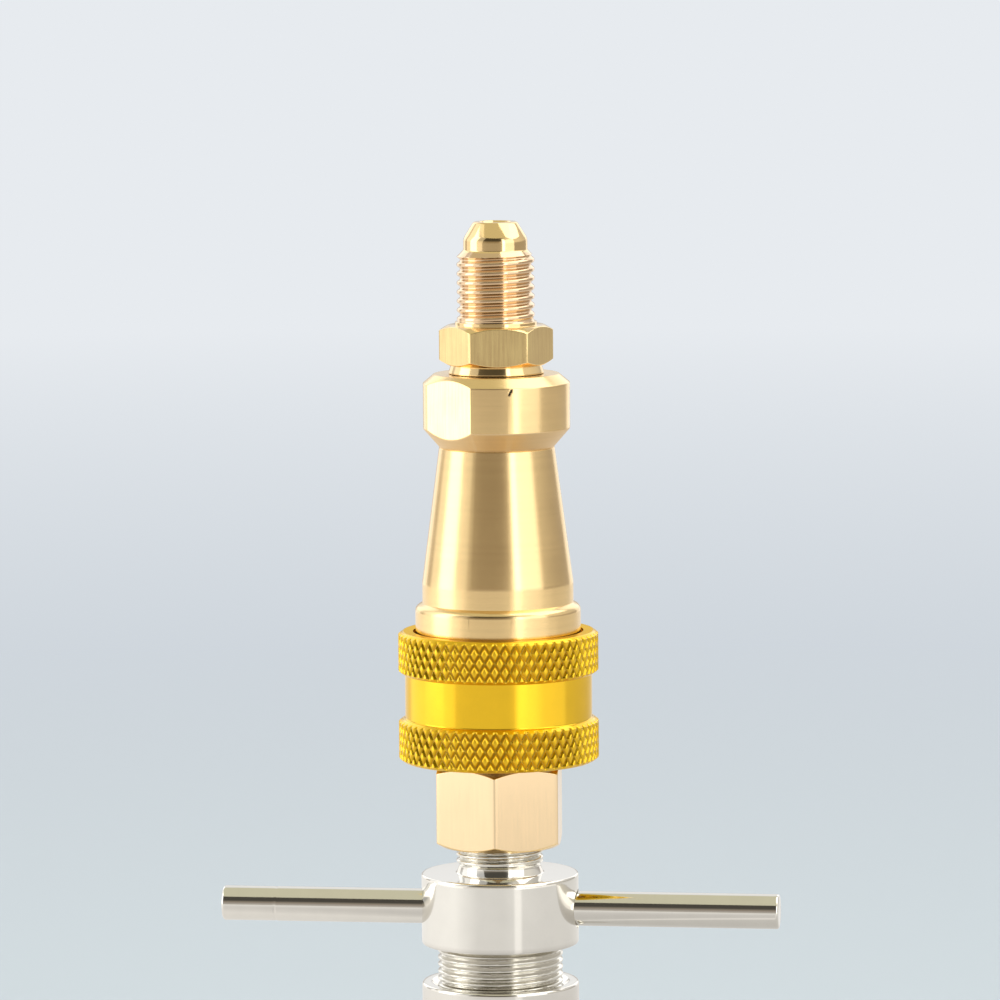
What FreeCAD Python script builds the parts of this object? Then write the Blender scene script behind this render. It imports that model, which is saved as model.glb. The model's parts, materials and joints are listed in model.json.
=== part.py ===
import FreeCAD
import Part
import math
import os

from FreeCAD import Vector

# Refrigerant quick coupler plugged on a tube clamp.
# Millimetres, +Z up, origin on the axis at the bottom face of the clamp barrel.
# Threads are drawn as plain cylinders at their major diameter.

# Fits
RUNNING_GAP = 0.05          # radial, turning and sliding fits
THREAD_GAP = 0.05           # radial, between engaged threads
SEAT_GAP = 0.05             # axial, where one moving piece rests on another
SLEEVE_GAP = 0.14           # radial, sleeve on the socket body
LOOSE_GAP = 0.10            # radial, inner pieces that are guided loosely
PRESS_GAP = 0.01            # radial, drawn between pressed pieces
SEWING_TOLERANCE = 1e-6

# Clamp barrel
BARREL_DIAMETER = 22.6
BARREL_LENGTH = 30.5
BARREL_FLOOR = 4.0
BARREL_EDGE = 0.5
BARREL_MOUTH = 0.9          # chamfer of the threaded mouth
TUBE_BORE = 6.6
TUBE_LEAD = 0.5             # chamfer where the tube goes in
TUBE_SEAL_DIAMETER = 16.0
TUBE_SEAL_HEIGHT = 11.0
FOLLOWER_THICKNESS = 2.0

# Tee screw and its handles
SCREW_DIAMETER = 18.0
SCREW_TRAVEL = 2.0          # each way from the drawn place
SCREW_SHOWN = 5.55          # thread seen between barrel and collar
SCREW_LEAD = 0.7
TEE_DIAMETER = 22.6
TEE_HEIGHT = 10.2
TEE_EDGE = 0.4
TEE_UNDERCUT = 0.8          # thread relief under the collar
STEM_DIAMETER = 12.5
STEM_SHOWN = 4.05
STEM_LEAD = 0.6
GAS_BORE = 4.8
HANDLE_DIAMETER = 5.0
HANDLE_REACH = 40.4
HANDLE_EDGE = 0.4
HANDLE_SOCKET_WALL = 2.6    # left between the handle's socket and the gas bore
HANDLE_SOCKET_EDGE = 0.3

# Plug nipple
PLUG_HEX = 17.46
PLUG_HEX_HEIGHT = 11.85
PLUG_HEX_TURN = 34.0
PLUG_WEB = 2.35             # solid between the stem's socket and the top of the hexagon
PLUG_DIAMETER = 12.6
PLUG_LENGTH = 13.8
PLUG_LEAD = 0.9
GASKET_THICKNESS = 0.8
HEX_BEVEL_ANGLE = 30.0
HEX_END_SHARE = 0.97        # of the flats' width, left flat at a hexagon's ends

# Ball lock
BALL_DIAMETER = 3.175
BALL_COUNT = 8
BALL_BITE = 0.85            # depth of a ball in the plug's groove
BALL_RIM = 0.13             # narrowing that keeps a ball from falling in
BALL_RIM_DEPTH = 0.5
SLEEVE_LIFT_GAP = 0.5       # between hexagon and sleeve
NOSE_RECESS = 0.35
NOSE_LIP = 1.5
SNAP_RING_THICKNESS = 1.0
SNAP_RING_DEPTH = 0.6
SNAP_RING_OPENING = 34.0
LAND_LEAD = 0.6
LAND_OVERRUN = 1.9

# Lock sleeve
SLEEVE_DIAMETER = 28.7
SLEEVE_WAIST = 26.85
SLEEVE_LENGTH = 18.75
SLEEVE_ENGAGEMENT = 2.0
SLEEVE_EDGE = 0.45
KNURL_BAND = 6.15
KNURL_COUNT = 60
KNURL_ROW = 1.3
KNURL_DEPTH = 0.45
KNURL_BEVEL = 0.6
KNURL_STEP = 0.12
SLEEVE_SPRING_WIRE = 1.0
SLEEVE_SPRING_COILS = 3.0

# Socket body
BODY_DIAMETER = 23.7
BODY_SHOWN = 4.1
BODY_SHOULDER = 1.0
CUFF_DIAMETER = 21.65
CUFF_HEIGHT = 2.9
TAPER_LENGTH = 19.4
NECK_DIAMETER = 16.3
NECK_EDGE = 0.35
GRIP_DIAMETER = 21.0
GRIP_LOWER_BEVEL = 2.7
GRIP_HEIGHT = 6.55
GRIP_UPPER_BEVEL = 1.3
GRIP_TOP_DIAMETER = 17.9
FLATS = 19.05
FLATS_TURN = 52.5

# Valve
PLUG_END_GAP = 0.3
SOCKET_RING_WIRE = 1.1
SOCKET_RING_INSET = 3.0     # from the plug's tip to the ring's centre
SEAT_BORE = 7.4
SEAT_DEPTH = 2.4
CHAMBER_BORE = 10.9
POPPET_LIFT = 2.2
POPPET_SPARE = 2.0
POPPET_SKIRT_GAP = 0.25
POPPET_FLOW_GAP = 0.55
POPPET_BORE = 4.4
POPPET_RIM = 1.6
POPPET_STEM = 3.0
POPPET_STEM_SHOWN = 1.5
POPPET_WINDOWS = 4
POPPET_SEAL_WIRE = 1.0
POPPET_SEAL_PROUD = 0.2
POPPET_SPRING_DIAMETER = 6.0
POPPET_SPRING_WIRE = 0.8
POPPET_SPRING_COILS = 7.0
GUIDE_THICKNESS = 1.5
GUIDE_HOLES = 6
GUIDE_HOLE = 1.7

# Flare adapter
ADAPTER_THREAD = 12.0
ADAPTER_DEPTH = 10.85
ADAPTER_RING_WIRE = 1.3
ADAPTER_RING_SEAT = 1.35
ADAPTER_FLANGE = 13.8
ADAPTER_FLANGE_HEIGHT = 1.3
ADAPTER_FLANGE_EDGE = 0.25
ADAPTER_HEX = 14.29
ADAPTER_HEX_HEIGHT = 5.65
ADAPTER_HEX_TURN = 11.0
ADAPTER_BORE = 4.0
WASHER_FACE = 11.7
WASHER_FACE_HEIGHT = 0.5
FLARE_THREAD = 11.1
FLARE_THREAD_LENGTH = 10.25
FLARE_NOSE = 9.16
FLARE_NOSE_LENGTH = 1.6
FLARE_TOP = 5.5
FLARE_CONE_HEIGHT = 2.4
FLARE_MOUTH = 0.35

# Heights, from the bottom up
seal_top = BARREL_FLOOR + TUBE_SEAL_HEIGHT
follower_foot = seal_top + SEAT_GAP
follower_top = follower_foot + FOLLOWER_THICKNESS
screw_foot = follower_top + SEAT_GAP
chamber_top = screw_foot + SCREW_LEAD
screw_thread_foot = chamber_top + SCREW_TRAVEL + SCREW_LEAD
tee_foot = BARREL_LENGTH + SCREW_SHOWN
tee_top = tee_foot + TEE_HEIGHT
handle_height = (tee_foot + tee_top) / 2
plug_hex_foot = tee_top + STEM_SHOWN
plug_hex_top = plug_hex_foot + PLUG_HEX_HEIGHT
gasket_top = plug_hex_top - PLUG_WEB
stem_top = gasket_top - GASKET_THICKNESS
plug_tip = plug_hex_top + PLUG_LENGTH
sleeve_foot = plug_hex_top + SLEEVE_LIFT_GAP
sleeve_top = sleeve_foot + SLEEVE_LENGTH
nose_foot = sleeve_foot + NOSE_RECESS
snap_ring_foot = nose_foot + NOSE_LIP
snap_ring_top = snap_ring_foot + SNAP_RING_THICKNESS
land_foot = snap_ring_top + SEAT_GAP
ball_height = land_foot + LAND_LEAD + BALL_DIAMETER / 2
land_top = ball_height + BALL_DIAMETER / 2 + LAND_OVERRUN
spring_shelf = sleeve_top - SLEEVE_ENGAGEMENT
body_step = sleeve_top + BODY_SHOWN
cuff_top = body_step + CUFF_HEIGHT
neck_height = cuff_top + TAPER_LENGTH
grip_foot = neck_height + GRIP_LOWER_BEVEL
grip_shoulder = grip_foot + GRIP_HEIGHT
body_top = grip_shoulder + GRIP_UPPER_BEVEL
socket_floor = plug_tip + PLUG_END_GAP
socket_ring_height = plug_tip - SOCKET_RING_INSET
seat_foot = socket_floor + SEAT_DEPTH
guide_foot = body_top - ADAPTER_DEPTH
guide_top = guide_foot + GUIDE_THICKNESS
adapter_hex_foot = body_top + ADAPTER_FLANGE_HEIGHT
adapter_hex_top = adapter_hex_foot + ADAPTER_HEX_HEIGHT
flare_thread_foot = adapter_hex_top + WASHER_FACE_HEIGHT
flare_thread_top = flare_thread_foot + FLARE_THREAD_LENGTH
flare_nose_top = flare_thread_top + FLARE_NOSE_LENGTH
flare_top = flare_nose_top + FLARE_CONE_HEIGHT

# Radii that fit one another
tube_radius = TUBE_BORE / 2
tube_way_radius = tube_radius + 2 * LOOSE_GAP
gas_radius = GAS_BORE / 2
seal_radius = TUBE_SEAL_DIAMETER / 2
seal_chamber_radius = seal_radius + LOOSE_GAP
screw_radius = SCREW_DIAMETER / 2
barrel_thread_radius = screw_radius + THREAD_GAP
stem_radius = STEM_DIAMETER / 2
stem_socket_radius = stem_radius + THREAD_GAP
handle_socket_floor = gas_radius + HANDLE_SOCKET_WALL
plug_radius = PLUG_DIAMETER / 2
ball_radius = BALL_DIAMETER / 2
socket_radius = plug_radius + RUNNING_GAP
ball_circle = plug_radius - BALL_BITE + ball_radius
land_radius = ball_circle + ball_radius + RUNNING_GAP
nose_radius = land_radius - SLEEVE_GAP
release_radius = plug_radius + BALL_DIAMETER + 2 * SLEEVE_GAP
snap_ring_inside = nose_radius - SNAP_RING_DEPTH
snap_ring_outside = release_radius - 2 * SLEEVE_GAP
body_radius = BODY_DIAMETER / 2
sleeve_bore_radius = body_radius + SLEEVE_GAP
sleeve_spring_radius = (nose_radius + sleeve_bore_radius) / 2
socket_groove_radius = socket_radius + SOCKET_RING_WIRE + RUNNING_GAP
chamber_radius = CHAMBER_BORE / 2
seat_radius = SEAT_BORE / 2
skirt_radius = seat_radius - POPPET_SKIRT_GAP
poppet_radius = chamber_radius - POPPET_FLOW_GAP
poppet_stem_radius = POPPET_STEM / 2
adapter_thread_radius = ADAPTER_THREAD / 2
adapter_ring_neck = adapter_thread_radius - ADAPTER_RING_WIRE / 2
adapter_ring_pocket = adapter_thread_radius + ADAPTER_RING_WIRE / 2 + RUNNING_GAP
adapter_bore_radius = ADAPTER_BORE / 2

# Poppet, held open by the plug
poppet_foot = plug_tip + SEAT_GAP
poppet_cone_foot = seat_foot - POPPET_SKIRT_GAP + POPPET_LIFT
poppet_rim_foot = poppet_cone_foot + poppet_radius - skirt_radius
poppet_top = poppet_rim_foot + POPPET_RIM
poppet_stem_top = guide_top + POPPET_STEM_SHOWN

CENTRE = Vector(0, 0, 0)
UP = Vector(0, 0, 1)


def at(radius, height):
    """Point of a turned outline, in the half plane y = 0."""
    return Vector(radius, 0, height)


def outline_wire(points):
    """Wire through (radius, height) points. A pair of pairs is an arc: its middle, then its end."""
    edges = []
    here = points[0]
    for point in points[1:]:
        if isinstance(point[0], tuple):
            middle, end = point
            edges.append(Part.Arc(at(*here), at(*middle), at(*end)).toShape())
        else:
            end = point
            edges.append(Part.makeLine(at(*here), at(*end)))
        here = end
    return Part.Wire(edges)


def turned(points):
    """Solid of revolution of a closed outline."""
    face = Part.Face(outline_wire(points + [points[0]]))
    return face.revolve(CENTRE, UP, 360)


def round_corner(corner, radius, along, out):
    """Arc that rounds a right-angled corner; along and out are the two unit directions away from it."""
    start = (corner[0] + radius * along[0], corner[1] + radius * along[1])
    end = (corner[0] + radius * out[0], corner[1] + radius * out[1])
    inset = radius * (1 - math.sqrt(0.5))
    middle = (corner[0] + inset * (along[0] + out[0]), corner[1] + inset * (along[1] + out[1]))
    return [start, (middle, end)]


def cylinder(radius, foot, top):
    """Upright cylinder on the axis."""
    return Part.makeCylinder(radius, top - foot, at(0, foot), UP)


def ring(centre_radius, wire_radius, height):
    """Ring of round section."""
    return Part.makeTorus(centre_radius, wire_radius, at(0, height), UP)


def pocket_ring(inside, outside, foot, top):
    """Flat ring."""
    return turned([(inside, foot), (outside, foot), (outside, top), (inside, top)])


def spun(shape, degrees):
    """Copy turned about the axis."""
    copy = shape.copy()
    copy.rotate(CENTRE, UP, degrees)
    return copy


def around(shape, count):
    """Copies spaced evenly about the axis."""
    return [spun(shape, 360 * index / count) for index in range(count)]


def hexagon(across_flats, foot, top, turn):
    """Hexagonal bar with both ends bevelled to the circle inside its flats."""
    corner = across_flats / math.sqrt(3)
    points = []
    for index in range(7):
        angle = math.radians(60 * index + turn)
        points.append(Vector(corner * math.cos(angle), corner * math.sin(angle), foot))
    bar = Part.Face(Part.makePolygon(points)).extrude(Vector(0, 0, top - foot))
    flat = across_flats / 2 * HEX_END_SHARE
    reach = corner + LOOSE_GAP
    drop = (reach - flat) * math.tan(math.radians(HEX_BEVEL_ANGLE))
    bevels = turned([
        (0, foot), (flat, foot), (reach, foot + drop),
        (reach, top - drop), (flat, top), (0, top)])
    return bar.common(bevels)


def coil_spring(mean_radius, wire_radius, coils, foot, top):
    """Helical spring with plain ends that stand on the two heights."""
    rise = top - foot - 2 * wire_radius
    helix = Part.makeHelix(rise / coils, rise, mean_radius)
    start = Part.Wire(Part.makeCircle(wire_radius, at(mean_radius, 0), Vector(0, 1, 0)))
    coil = Part.Wire(helix.Edges).makePipeShell([start], True, True)
    coil.translate(at(0, foot + wire_radius))
    return coil


def clamp_barrel():
    outside = BARREL_DIAMETER / 2
    mouth = barrel_thread_radius + BARREL_MOUTH
    shell = turned([
        (tube_radius + TUBE_LEAD, 0),
        *round_corner((outside, 0), BARREL_EDGE, (-1, 0), (0, 1)),
        *round_corner((outside, BARREL_LENGTH), BARREL_EDGE, (0, -1), (-1, 0)),
        (mouth, BARREL_LENGTH),
        (barrel_thread_radius, BARREL_LENGTH - BARREL_MOUTH),
        (barrel_thread_radius, chamber_top),
        (seal_chamber_radius, chamber_top),
        (seal_chamber_radius, BARREL_FLOOR),
        (tube_radius, BARREL_FLOOR),
        (tube_radius, TUBE_LEAD)])
    return shell


def tube_seal():
    return pocket_ring(tube_way_radius, seal_radius, BARREL_FLOOR, seal_top)


def seal_follower():
    return pocket_ring(tube_way_radius, seal_radius, follower_foot, follower_top)


def tee_screw():
    tee_radius = TEE_DIAMETER / 2
    relief = screw_radius - TEE_UNDERCUT
    tube_stop = tee_foot - (tube_way_radius - gas_radius)
    screw = turned([
        (tube_way_radius, screw_foot),
        (seal_radius, screw_foot),
        (seal_radius, screw_thread_foot - SCREW_LEAD),
        (screw_radius, screw_thread_foot),
        (screw_radius, tee_foot - TEE_UNDERCUT),
        (relief, tee_foot - TEE_UNDERCUT),
        (relief, tee_foot),
        *round_corner((tee_radius, tee_foot), TEE_EDGE, (-1, 0), (0, 1)),
        *round_corner((tee_radius, tee_top), TEE_EDGE, (0, -1), (-1, 0)),
        (stem_radius, tee_top),
        (stem_radius, stem_top - STEM_LEAD),
        (stem_radius - STEM_LEAD, stem_top),
        (gas_radius, stem_top),
        (gas_radius, tee_foot),
        (tube_way_radius, tube_stop)])
    handle_hole = HANDLE_DIAMETER / 2 + PRESS_GAP
    mouth_radius = handle_hole + HANDLE_SOCKET_EDGE
    for side in (1, -1):
        outward = Vector(side, 0, 0)
        floor = Vector(side * handle_socket_floor, 0, handle_height)
        socket = Part.makeCylinder(handle_hole, tee_radius, floor, outward)
        mouth_start = Vector(side * (tee_radius - 2 * HANDLE_SOCKET_EDGE), 0, handle_height)
        mouth = Part.makeCone(
            handle_hole - HANDLE_SOCKET_EDGE, mouth_radius,
            2 * HANDLE_SOCKET_EDGE, mouth_start, outward)
        screw = screw.cut(socket).cut(mouth)
    return screw


def handle(side):
    outward = Vector(side, 0, 0)
    start = Vector(side * (handle_socket_floor + PRESS_GAP), 0, handle_height)
    length = HANDLE_REACH - handle_socket_floor - PRESS_GAP
    rod = Part.makeCylinder(HANDLE_DIAMETER / 2, length, start, outward)
    tip = [edge for edge in rod.Edges if abs(edge.CenterOfMass.x - side * HANDLE_REACH) < PRESS_GAP]
    return rod.makeFillet(HANDLE_EDGE, tip)


def stem_gasket():
    return pocket_ring(gas_radius, stem_radius, stem_top, gasket_top)


def plug_nipple():
    groove_radius = ball_radius + RUNNING_GAP
    plug = turned([
        (gas_radius, plug_hex_top - PLUG_WEB),
        (plug_radius, plug_hex_top - PLUG_WEB),
        (plug_radius, plug_tip - 2 * PLUG_LEAD),
        (plug_radius - PLUG_LEAD, plug_tip),
        (gas_radius, plug_tip)])
    plug = plug.cut(ring(ball_circle, groove_radius, ball_height))
    bar = hexagon(PLUG_HEX, plug_hex_foot, plug_hex_top, PLUG_HEX_TURN)
    bar = bar.cut(cylinder(stem_socket_radius, plug_hex_foot, gasket_top))
    bar = bar.cut(cylinder(gas_radius, plug_hex_foot, plug_hex_top))
    lead = turned([
        (0, plug_hex_foot), (stem_socket_radius + STEM_LEAD, plug_hex_foot),
        (0, plug_hex_foot + stem_socket_radius + STEM_LEAD)])
    return bar.cut(lead).fuse(plug).removeSplitter()


def ball_holes():
    """Radial holes of the cage, narrowed at the inside so that the balls stay in."""
    hole_radius = ball_radius + RUNNING_GAP
    rim_start = socket_radius - BALL_RIM_DEPTH
    rim_end = socket_radius + BALL_RIM_DEPTH
    narrow = hole_radius - 2 * BALL_RIM
    rim = Part.makeCone(narrow, hole_radius, rim_end - rim_start, at(rim_start, ball_height), Vector(1, 0, 0))
    bore = Part.makeCylinder(hole_radius, nose_radius, at(rim_end, ball_height), Vector(1, 0, 0))
    return around(rim.fuse(bore), BALL_COUNT)


def locking_balls():
    ball = Part.makeSphere(ball_radius, at(ball_circle, ball_height))
    return Part.makeCompound(around(ball, BALL_COUNT))


def snap_ring():
    flat = pocket_ring(snap_ring_inside, snap_ring_outside, snap_ring_foot, snap_ring_top)
    gap = Part.makeCylinder(
        2 * snap_ring_outside, SNAP_RING_THICKNESS, at(0, snap_ring_foot), UP, SNAP_RING_OPENING)
    return flat.cut(gap)


def knurled_band(foot, top):
    """Facets of one diamond-knurled band and its lower and upper border polygons."""
    corners = 2 * KNURL_COUNT
    tip = SLEEVE_DIAMETER / 2
    root = tip - KNURL_DEPTH
    edge = SLEEVE_WAIST / 2 + KNURL_STEP
    knurl_foot = foot + KNURL_BEVEL
    knurl_height = top - foot - 2 * KNURL_BEVEL
    rows = max(2, round(knurl_height / KNURL_ROW))

    def point(index, radius, height):
        angle = math.pi * (index % corners) / KNURL_COUNT
        return Vector(radius * math.cos(angle), radius * math.sin(angle), height)

    def level(row):
        height = knurl_foot + knurl_height * row / rows
        return [point(index, root if (index + row) % 2 else tip, height) for index in range(corners + 1)]

    lower = [point(index, edge, foot) for index in range(corners + 1)]
    upper = [point(index, edge, top) for index in range(corners + 1)]
    levels = [lower] + [level(row) for row in range(rows + 1)] + [upper]
    facets = []
    for step in range(len(levels) - 1):
        below = levels[step]
        above = levels[step + 1]
        for index in range(corners):
            quad = [below[index], below[index + 1], above[index + 1], above[index]]
            # a groove joins the two low corners of each quad
            first = (index + step) % 2
            halves = ((0, 1, 2), (0, 2, 3)) if first == 0 else ((0, 1, 3), (1, 2, 3))
            for half in halves:
                corner_points = [quad[number] for number in half]
                facets.append(Part.Face(Part.makePolygon(corner_points + corner_points[:1])))
    return facets, lower, upper


def flat_rim(border, hole_radius):
    """Flat face between a border polygon and a round hole."""
    rim = Part.Wire(Part.makeCircle(hole_radius, at(0, border[0].z), UP))
    return Part.Face([Part.makePolygon(border), rim])


def lock_sleeve():
    waist = SLEEVE_WAIST / 2
    mouth = release_radius + SLEEVE_EDGE
    collar = sleeve_bore_radius + SLEEVE_EDGE
    inside = outline_wire([
        (mouth, sleeve_foot),
        (release_radius, sleeve_foot + SLEEVE_EDGE),
        (release_radius, land_foot),
        (land_radius, land_foot),
        (land_radius, land_top),
        (sleeve_bore_radius, land_top),
        (sleeve_bore_radius, sleeve_top - SLEEVE_EDGE),
        (collar, sleeve_top)])
    waist_foot = sleeve_foot + KNURL_BAND
    waist_top = sleeve_top - KNURL_BAND
    waist_line = outline_wire([(waist, waist_foot), (waist, waist_top)])
    low_facets, low_foot, low_top = knurled_band(sleeve_foot, waist_foot)
    high_facets, high_foot, high_top = knurled_band(waist_top, sleeve_top)
    faces = low_facets + high_facets
    faces += inside.revolve(CENTRE, UP, 360).Faces
    faces += waist_line.revolve(CENTRE, UP, 360).Faces
    faces.append(flat_rim(low_foot, mouth))
    faces.append(flat_rim(low_top, waist))
    faces.append(flat_rim(high_foot, waist))
    faces.append(flat_rim(high_top, collar))
    skin = Part.makeCompound(faces)
    skin.sewShape()
    sleeve = Part.makeSolid(skin.Shells[0])
    sleeve.fix(SEWING_TOLERANCE, SEWING_TOLERANCE, SEWING_TOLERANCE)
    return sleeve


def sleeve_spring():
    return coil_spring(
        sleeve_spring_radius, SLEEVE_SPRING_WIRE / 2, SLEEVE_SPRING_COILS,
        land_top + SEAT_GAP, spring_shelf)


def socket_body():
    shoulder_middle = BODY_SHOULDER * (1 - math.sqrt(0.5))
    neck = NECK_DIAMETER / 2
    grip = GRIP_DIAMETER / 2
    groove_half = SOCKET_RING_WIRE / 2 + RUNNING_GAP
    seat_top = seat_foot + chamber_radius - seat_radius
    body = turned([
        (socket_radius + NOSE_RECESS, nose_foot),
        (nose_radius, nose_foot),
        (nose_radius, snap_ring_foot),
        (snap_ring_inside, snap_ring_foot),
        (snap_ring_inside, snap_ring_top),
        (nose_radius, snap_ring_top),
        (nose_radius, spring_shelf),
        (body_radius, spring_shelf),
        (body_radius, body_step - BODY_SHOULDER),
        ((body_radius - shoulder_middle, body_step - shoulder_middle), (body_radius - BODY_SHOULDER, body_step)),
        (CUFF_DIAMETER / 2, body_step),
        (CUFF_DIAMETER / 2, cuff_top),
        (neck + NECK_EDGE, neck_height - NECK_EDGE),
        (neck, neck_height),
        (grip, grip_foot),
        (grip, grip_shoulder),
        (GRIP_TOP_DIAMETER / 2, body_top),
        (adapter_ring_pocket, body_top),
        (adapter_ring_pocket, body_top - ADAPTER_RING_SEAT),
        (adapter_thread_radius + THREAD_GAP, body_top - ADAPTER_RING_SEAT),
        (adapter_thread_radius + THREAD_GAP, guide_foot),
        (chamber_radius, guide_foot),
        (chamber_radius, seat_top),
        (seat_radius, seat_foot),
        (seat_radius, socket_floor),
        (socket_radius, socket_floor),
        (socket_radius, socket_ring_height + groove_half),
        (socket_groove_radius, socket_ring_height + groove_half),
        (socket_groove_radius, socket_ring_height - groove_half),
        (socket_radius, socket_ring_height - groove_half),
        (socket_radius, nose_foot + NOSE_RECESS)])
    for hole in ball_holes():
        body = body.cut(hole)
    width = GRIP_DIAMETER
    for side in (0, 180):
        chip = Part.makeBox(
            width, 2 * width, body_top - neck_height, Vector(FLATS / 2, -width, neck_height))
        body = body.cut(spun(chip, FLATS_TURN + side))
    return body


def socket_o_ring():
    return ring(socket_radius + SOCKET_RING_WIRE / 2, SOCKET_RING_WIRE / 2, socket_ring_height)


def poppet_seal_ring(wire):
    """Ring on the poppet's cone, a little proud of it."""
    sunk = (POPPET_SEAL_WIRE / 2 - POPPET_SEAL_PROUD) * math.sqrt(0.5)
    along = (poppet_radius - skirt_radius) / 2
    return ring(skirt_radius + along - sunk, wire / 2, poppet_cone_foot + along + sunk)


def poppet_valve():
    bore = POPPET_BORE / 2
    window = (poppet_cone_foot - seat_foot) / 2
    window_radius = window - POPPET_SKIRT_GAP
    poppet = turned([
        (bore, poppet_foot),
        (skirt_radius, poppet_foot),
        (skirt_radius, poppet_cone_foot),
        (poppet_radius, poppet_rim_foot),
        (poppet_radius, poppet_top),
        (poppet_stem_radius, poppet_top),
        (poppet_stem_radius, poppet_stem_top),
        (0, poppet_stem_top),
        (0, poppet_cone_foot),
        (bore, poppet_cone_foot)])
    slot = Part.makeCylinder(window_radius, skirt_radius, at(0, seat_foot + window), Vector(1, 0, 0))
    for opening in around(slot, POPPET_WINDOWS):
        poppet = poppet.cut(opening)
    return poppet.cut(poppet_seal_ring(POPPET_SEAL_WIRE + 2 * PRESS_GAP))


def poppet_spring():
    return coil_spring(
        POPPET_SPRING_DIAMETER / 2, POPPET_SPRING_WIRE / 2, POPPET_SPRING_COILS,
        poppet_top + SEAT_GAP, guide_foot)


def valve_guide():
    guide = pocket_ring(poppet_stem_radius + LOOSE_GAP, adapter_thread_radius, guide_foot, guide_top)
    hole_circle = (poppet_stem_radius + chamber_radius) / 2
    hole = Part.makeCylinder(GUIDE_HOLE / 2, GUIDE_THICKNESS, at(hole_circle, guide_foot), UP)
    for opening in around(hole, GUIDE_HOLES):
        guide = guide.cut(opening)
    return guide


def adapter_o_ring():
    return ring(adapter_thread_radius, ADAPTER_RING_WIRE / 2, body_top - ADAPTER_RING_SEAT / 2)


def flare_adapter():
    flange = ADAPTER_FLANGE / 2
    thread = FLARE_THREAD / 2
    nose = FLARE_NOSE / 2
    ring_foot = body_top - ADAPTER_RING_SEAT
    stem_room = poppet_stem_top + POPPET_SPARE + POPPET_SKIRT_GAP
    wide_bore = adapter_thread_radius - ADAPTER_RING_WIRE
    core = turned([
        (wide_bore, guide_top),
        (adapter_thread_radius, guide_top),
        (adapter_thread_radius, ring_foot),
        (adapter_ring_neck, ring_foot),
        (adapter_ring_neck, body_top),
        (flange - ADAPTER_FLANGE_EDGE, body_top),
        (flange, body_top + ADAPTER_FLANGE_EDGE),
        (flange, adapter_hex_foot),
        (WASHER_FACE / 2, adapter_hex_foot),
        (WASHER_FACE / 2, flare_thread_foot),
        (thread, flare_thread_foot),
        (thread, flare_thread_top - (thread - nose)),
        (nose, flare_thread_top),
        (nose, flare_nose_top),
        (FLARE_TOP / 2, flare_top),
        (adapter_bore_radius + FLARE_MOUTH, flare_top),
        (adapter_bore_radius, flare_top - FLARE_MOUTH),
        (adapter_bore_radius, stem_room + wide_bore - adapter_bore_radius),
        (wide_bore, stem_room)])
    bar = hexagon(ADAPTER_HEX, adapter_hex_foot, adapter_hex_top, ADAPTER_HEX_TURN)
    bar = bar.cut(cylinder(adapter_bore_radius, adapter_hex_foot, adapter_hex_top))
    return core.fuse(bar).removeSplitter()


PIECES = {
    "clamp_barrel": clamp_barrel,
    "tube_seal": tube_seal,
    "seal_follower": seal_follower,
    "tee_screw": tee_screw,
    "handle_left": lambda: handle(-1),
    "handle_right": lambda: handle(1),
    "stem_gasket": stem_gasket,
    "plug_nipple": plug_nipple,
    "locking_balls": locking_balls,
    "snap_ring": snap_ring,
    "lock_sleeve": lock_sleeve,
    "sleeve_spring": sleeve_spring,
    "socket_body": socket_body,
    "socket_o_ring": socket_o_ring,
    "poppet_valve": poppet_valve,
    "poppet_seal": lambda: poppet_seal_ring(POPPET_SEAL_WIRE),
    "poppet_spring": poppet_spring,
    "valve_guide": valve_guide,
    "adapter_o_ring": adapter_o_ring,
    "flare_adapter": flare_adapter,
}

os.makedirs("parts", exist_ok=True)
for name, make in PIECES.items():
    shape = make()
    shape.exportStep("parts/" + name + ".step")
    print(name, "solids", len(shape.Solids), "valid", shape.isValid(), "volume", round(shape.Volume, 3))
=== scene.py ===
"""Dresses the refrigerant quick coupler on its tube clamp in turned, threaded and knurled metal."""
import json
import math
from collections import namedtuple

import bmesh
import bpy
from bpy.props import FloatProperty, FloatVectorProperty, IntProperty, PointerProperty
from mathutils import Matrix, Vector


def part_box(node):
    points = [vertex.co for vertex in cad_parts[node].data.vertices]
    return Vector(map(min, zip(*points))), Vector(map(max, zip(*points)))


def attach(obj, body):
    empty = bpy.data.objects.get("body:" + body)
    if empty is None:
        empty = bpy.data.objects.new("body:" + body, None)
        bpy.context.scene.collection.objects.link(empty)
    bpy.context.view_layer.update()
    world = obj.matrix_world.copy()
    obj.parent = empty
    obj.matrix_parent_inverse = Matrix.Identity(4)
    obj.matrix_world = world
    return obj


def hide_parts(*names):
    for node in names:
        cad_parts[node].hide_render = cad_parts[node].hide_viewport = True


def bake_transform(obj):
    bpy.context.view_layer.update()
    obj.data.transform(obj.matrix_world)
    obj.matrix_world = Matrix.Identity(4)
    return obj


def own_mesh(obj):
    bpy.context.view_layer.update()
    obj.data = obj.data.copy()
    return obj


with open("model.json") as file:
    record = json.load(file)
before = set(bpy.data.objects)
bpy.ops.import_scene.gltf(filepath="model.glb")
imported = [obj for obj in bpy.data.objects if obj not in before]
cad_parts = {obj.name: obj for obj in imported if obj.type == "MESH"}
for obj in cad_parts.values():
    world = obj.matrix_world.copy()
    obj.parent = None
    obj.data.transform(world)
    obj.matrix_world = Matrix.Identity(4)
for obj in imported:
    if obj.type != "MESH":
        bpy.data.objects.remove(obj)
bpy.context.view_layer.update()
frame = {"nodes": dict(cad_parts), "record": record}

bl_info = {
    "name": "Quick coupler dressing",
    "version": (1, 0, 0),
    "blender": (4, 5, 0),
    "location": "View3D > Sidebar > Coupler",
    "description": "Builds the visible pieces of a refrigerant quick coupler on a tube clamp",
    "category": "Object",
}

MM = 0.001


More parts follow.
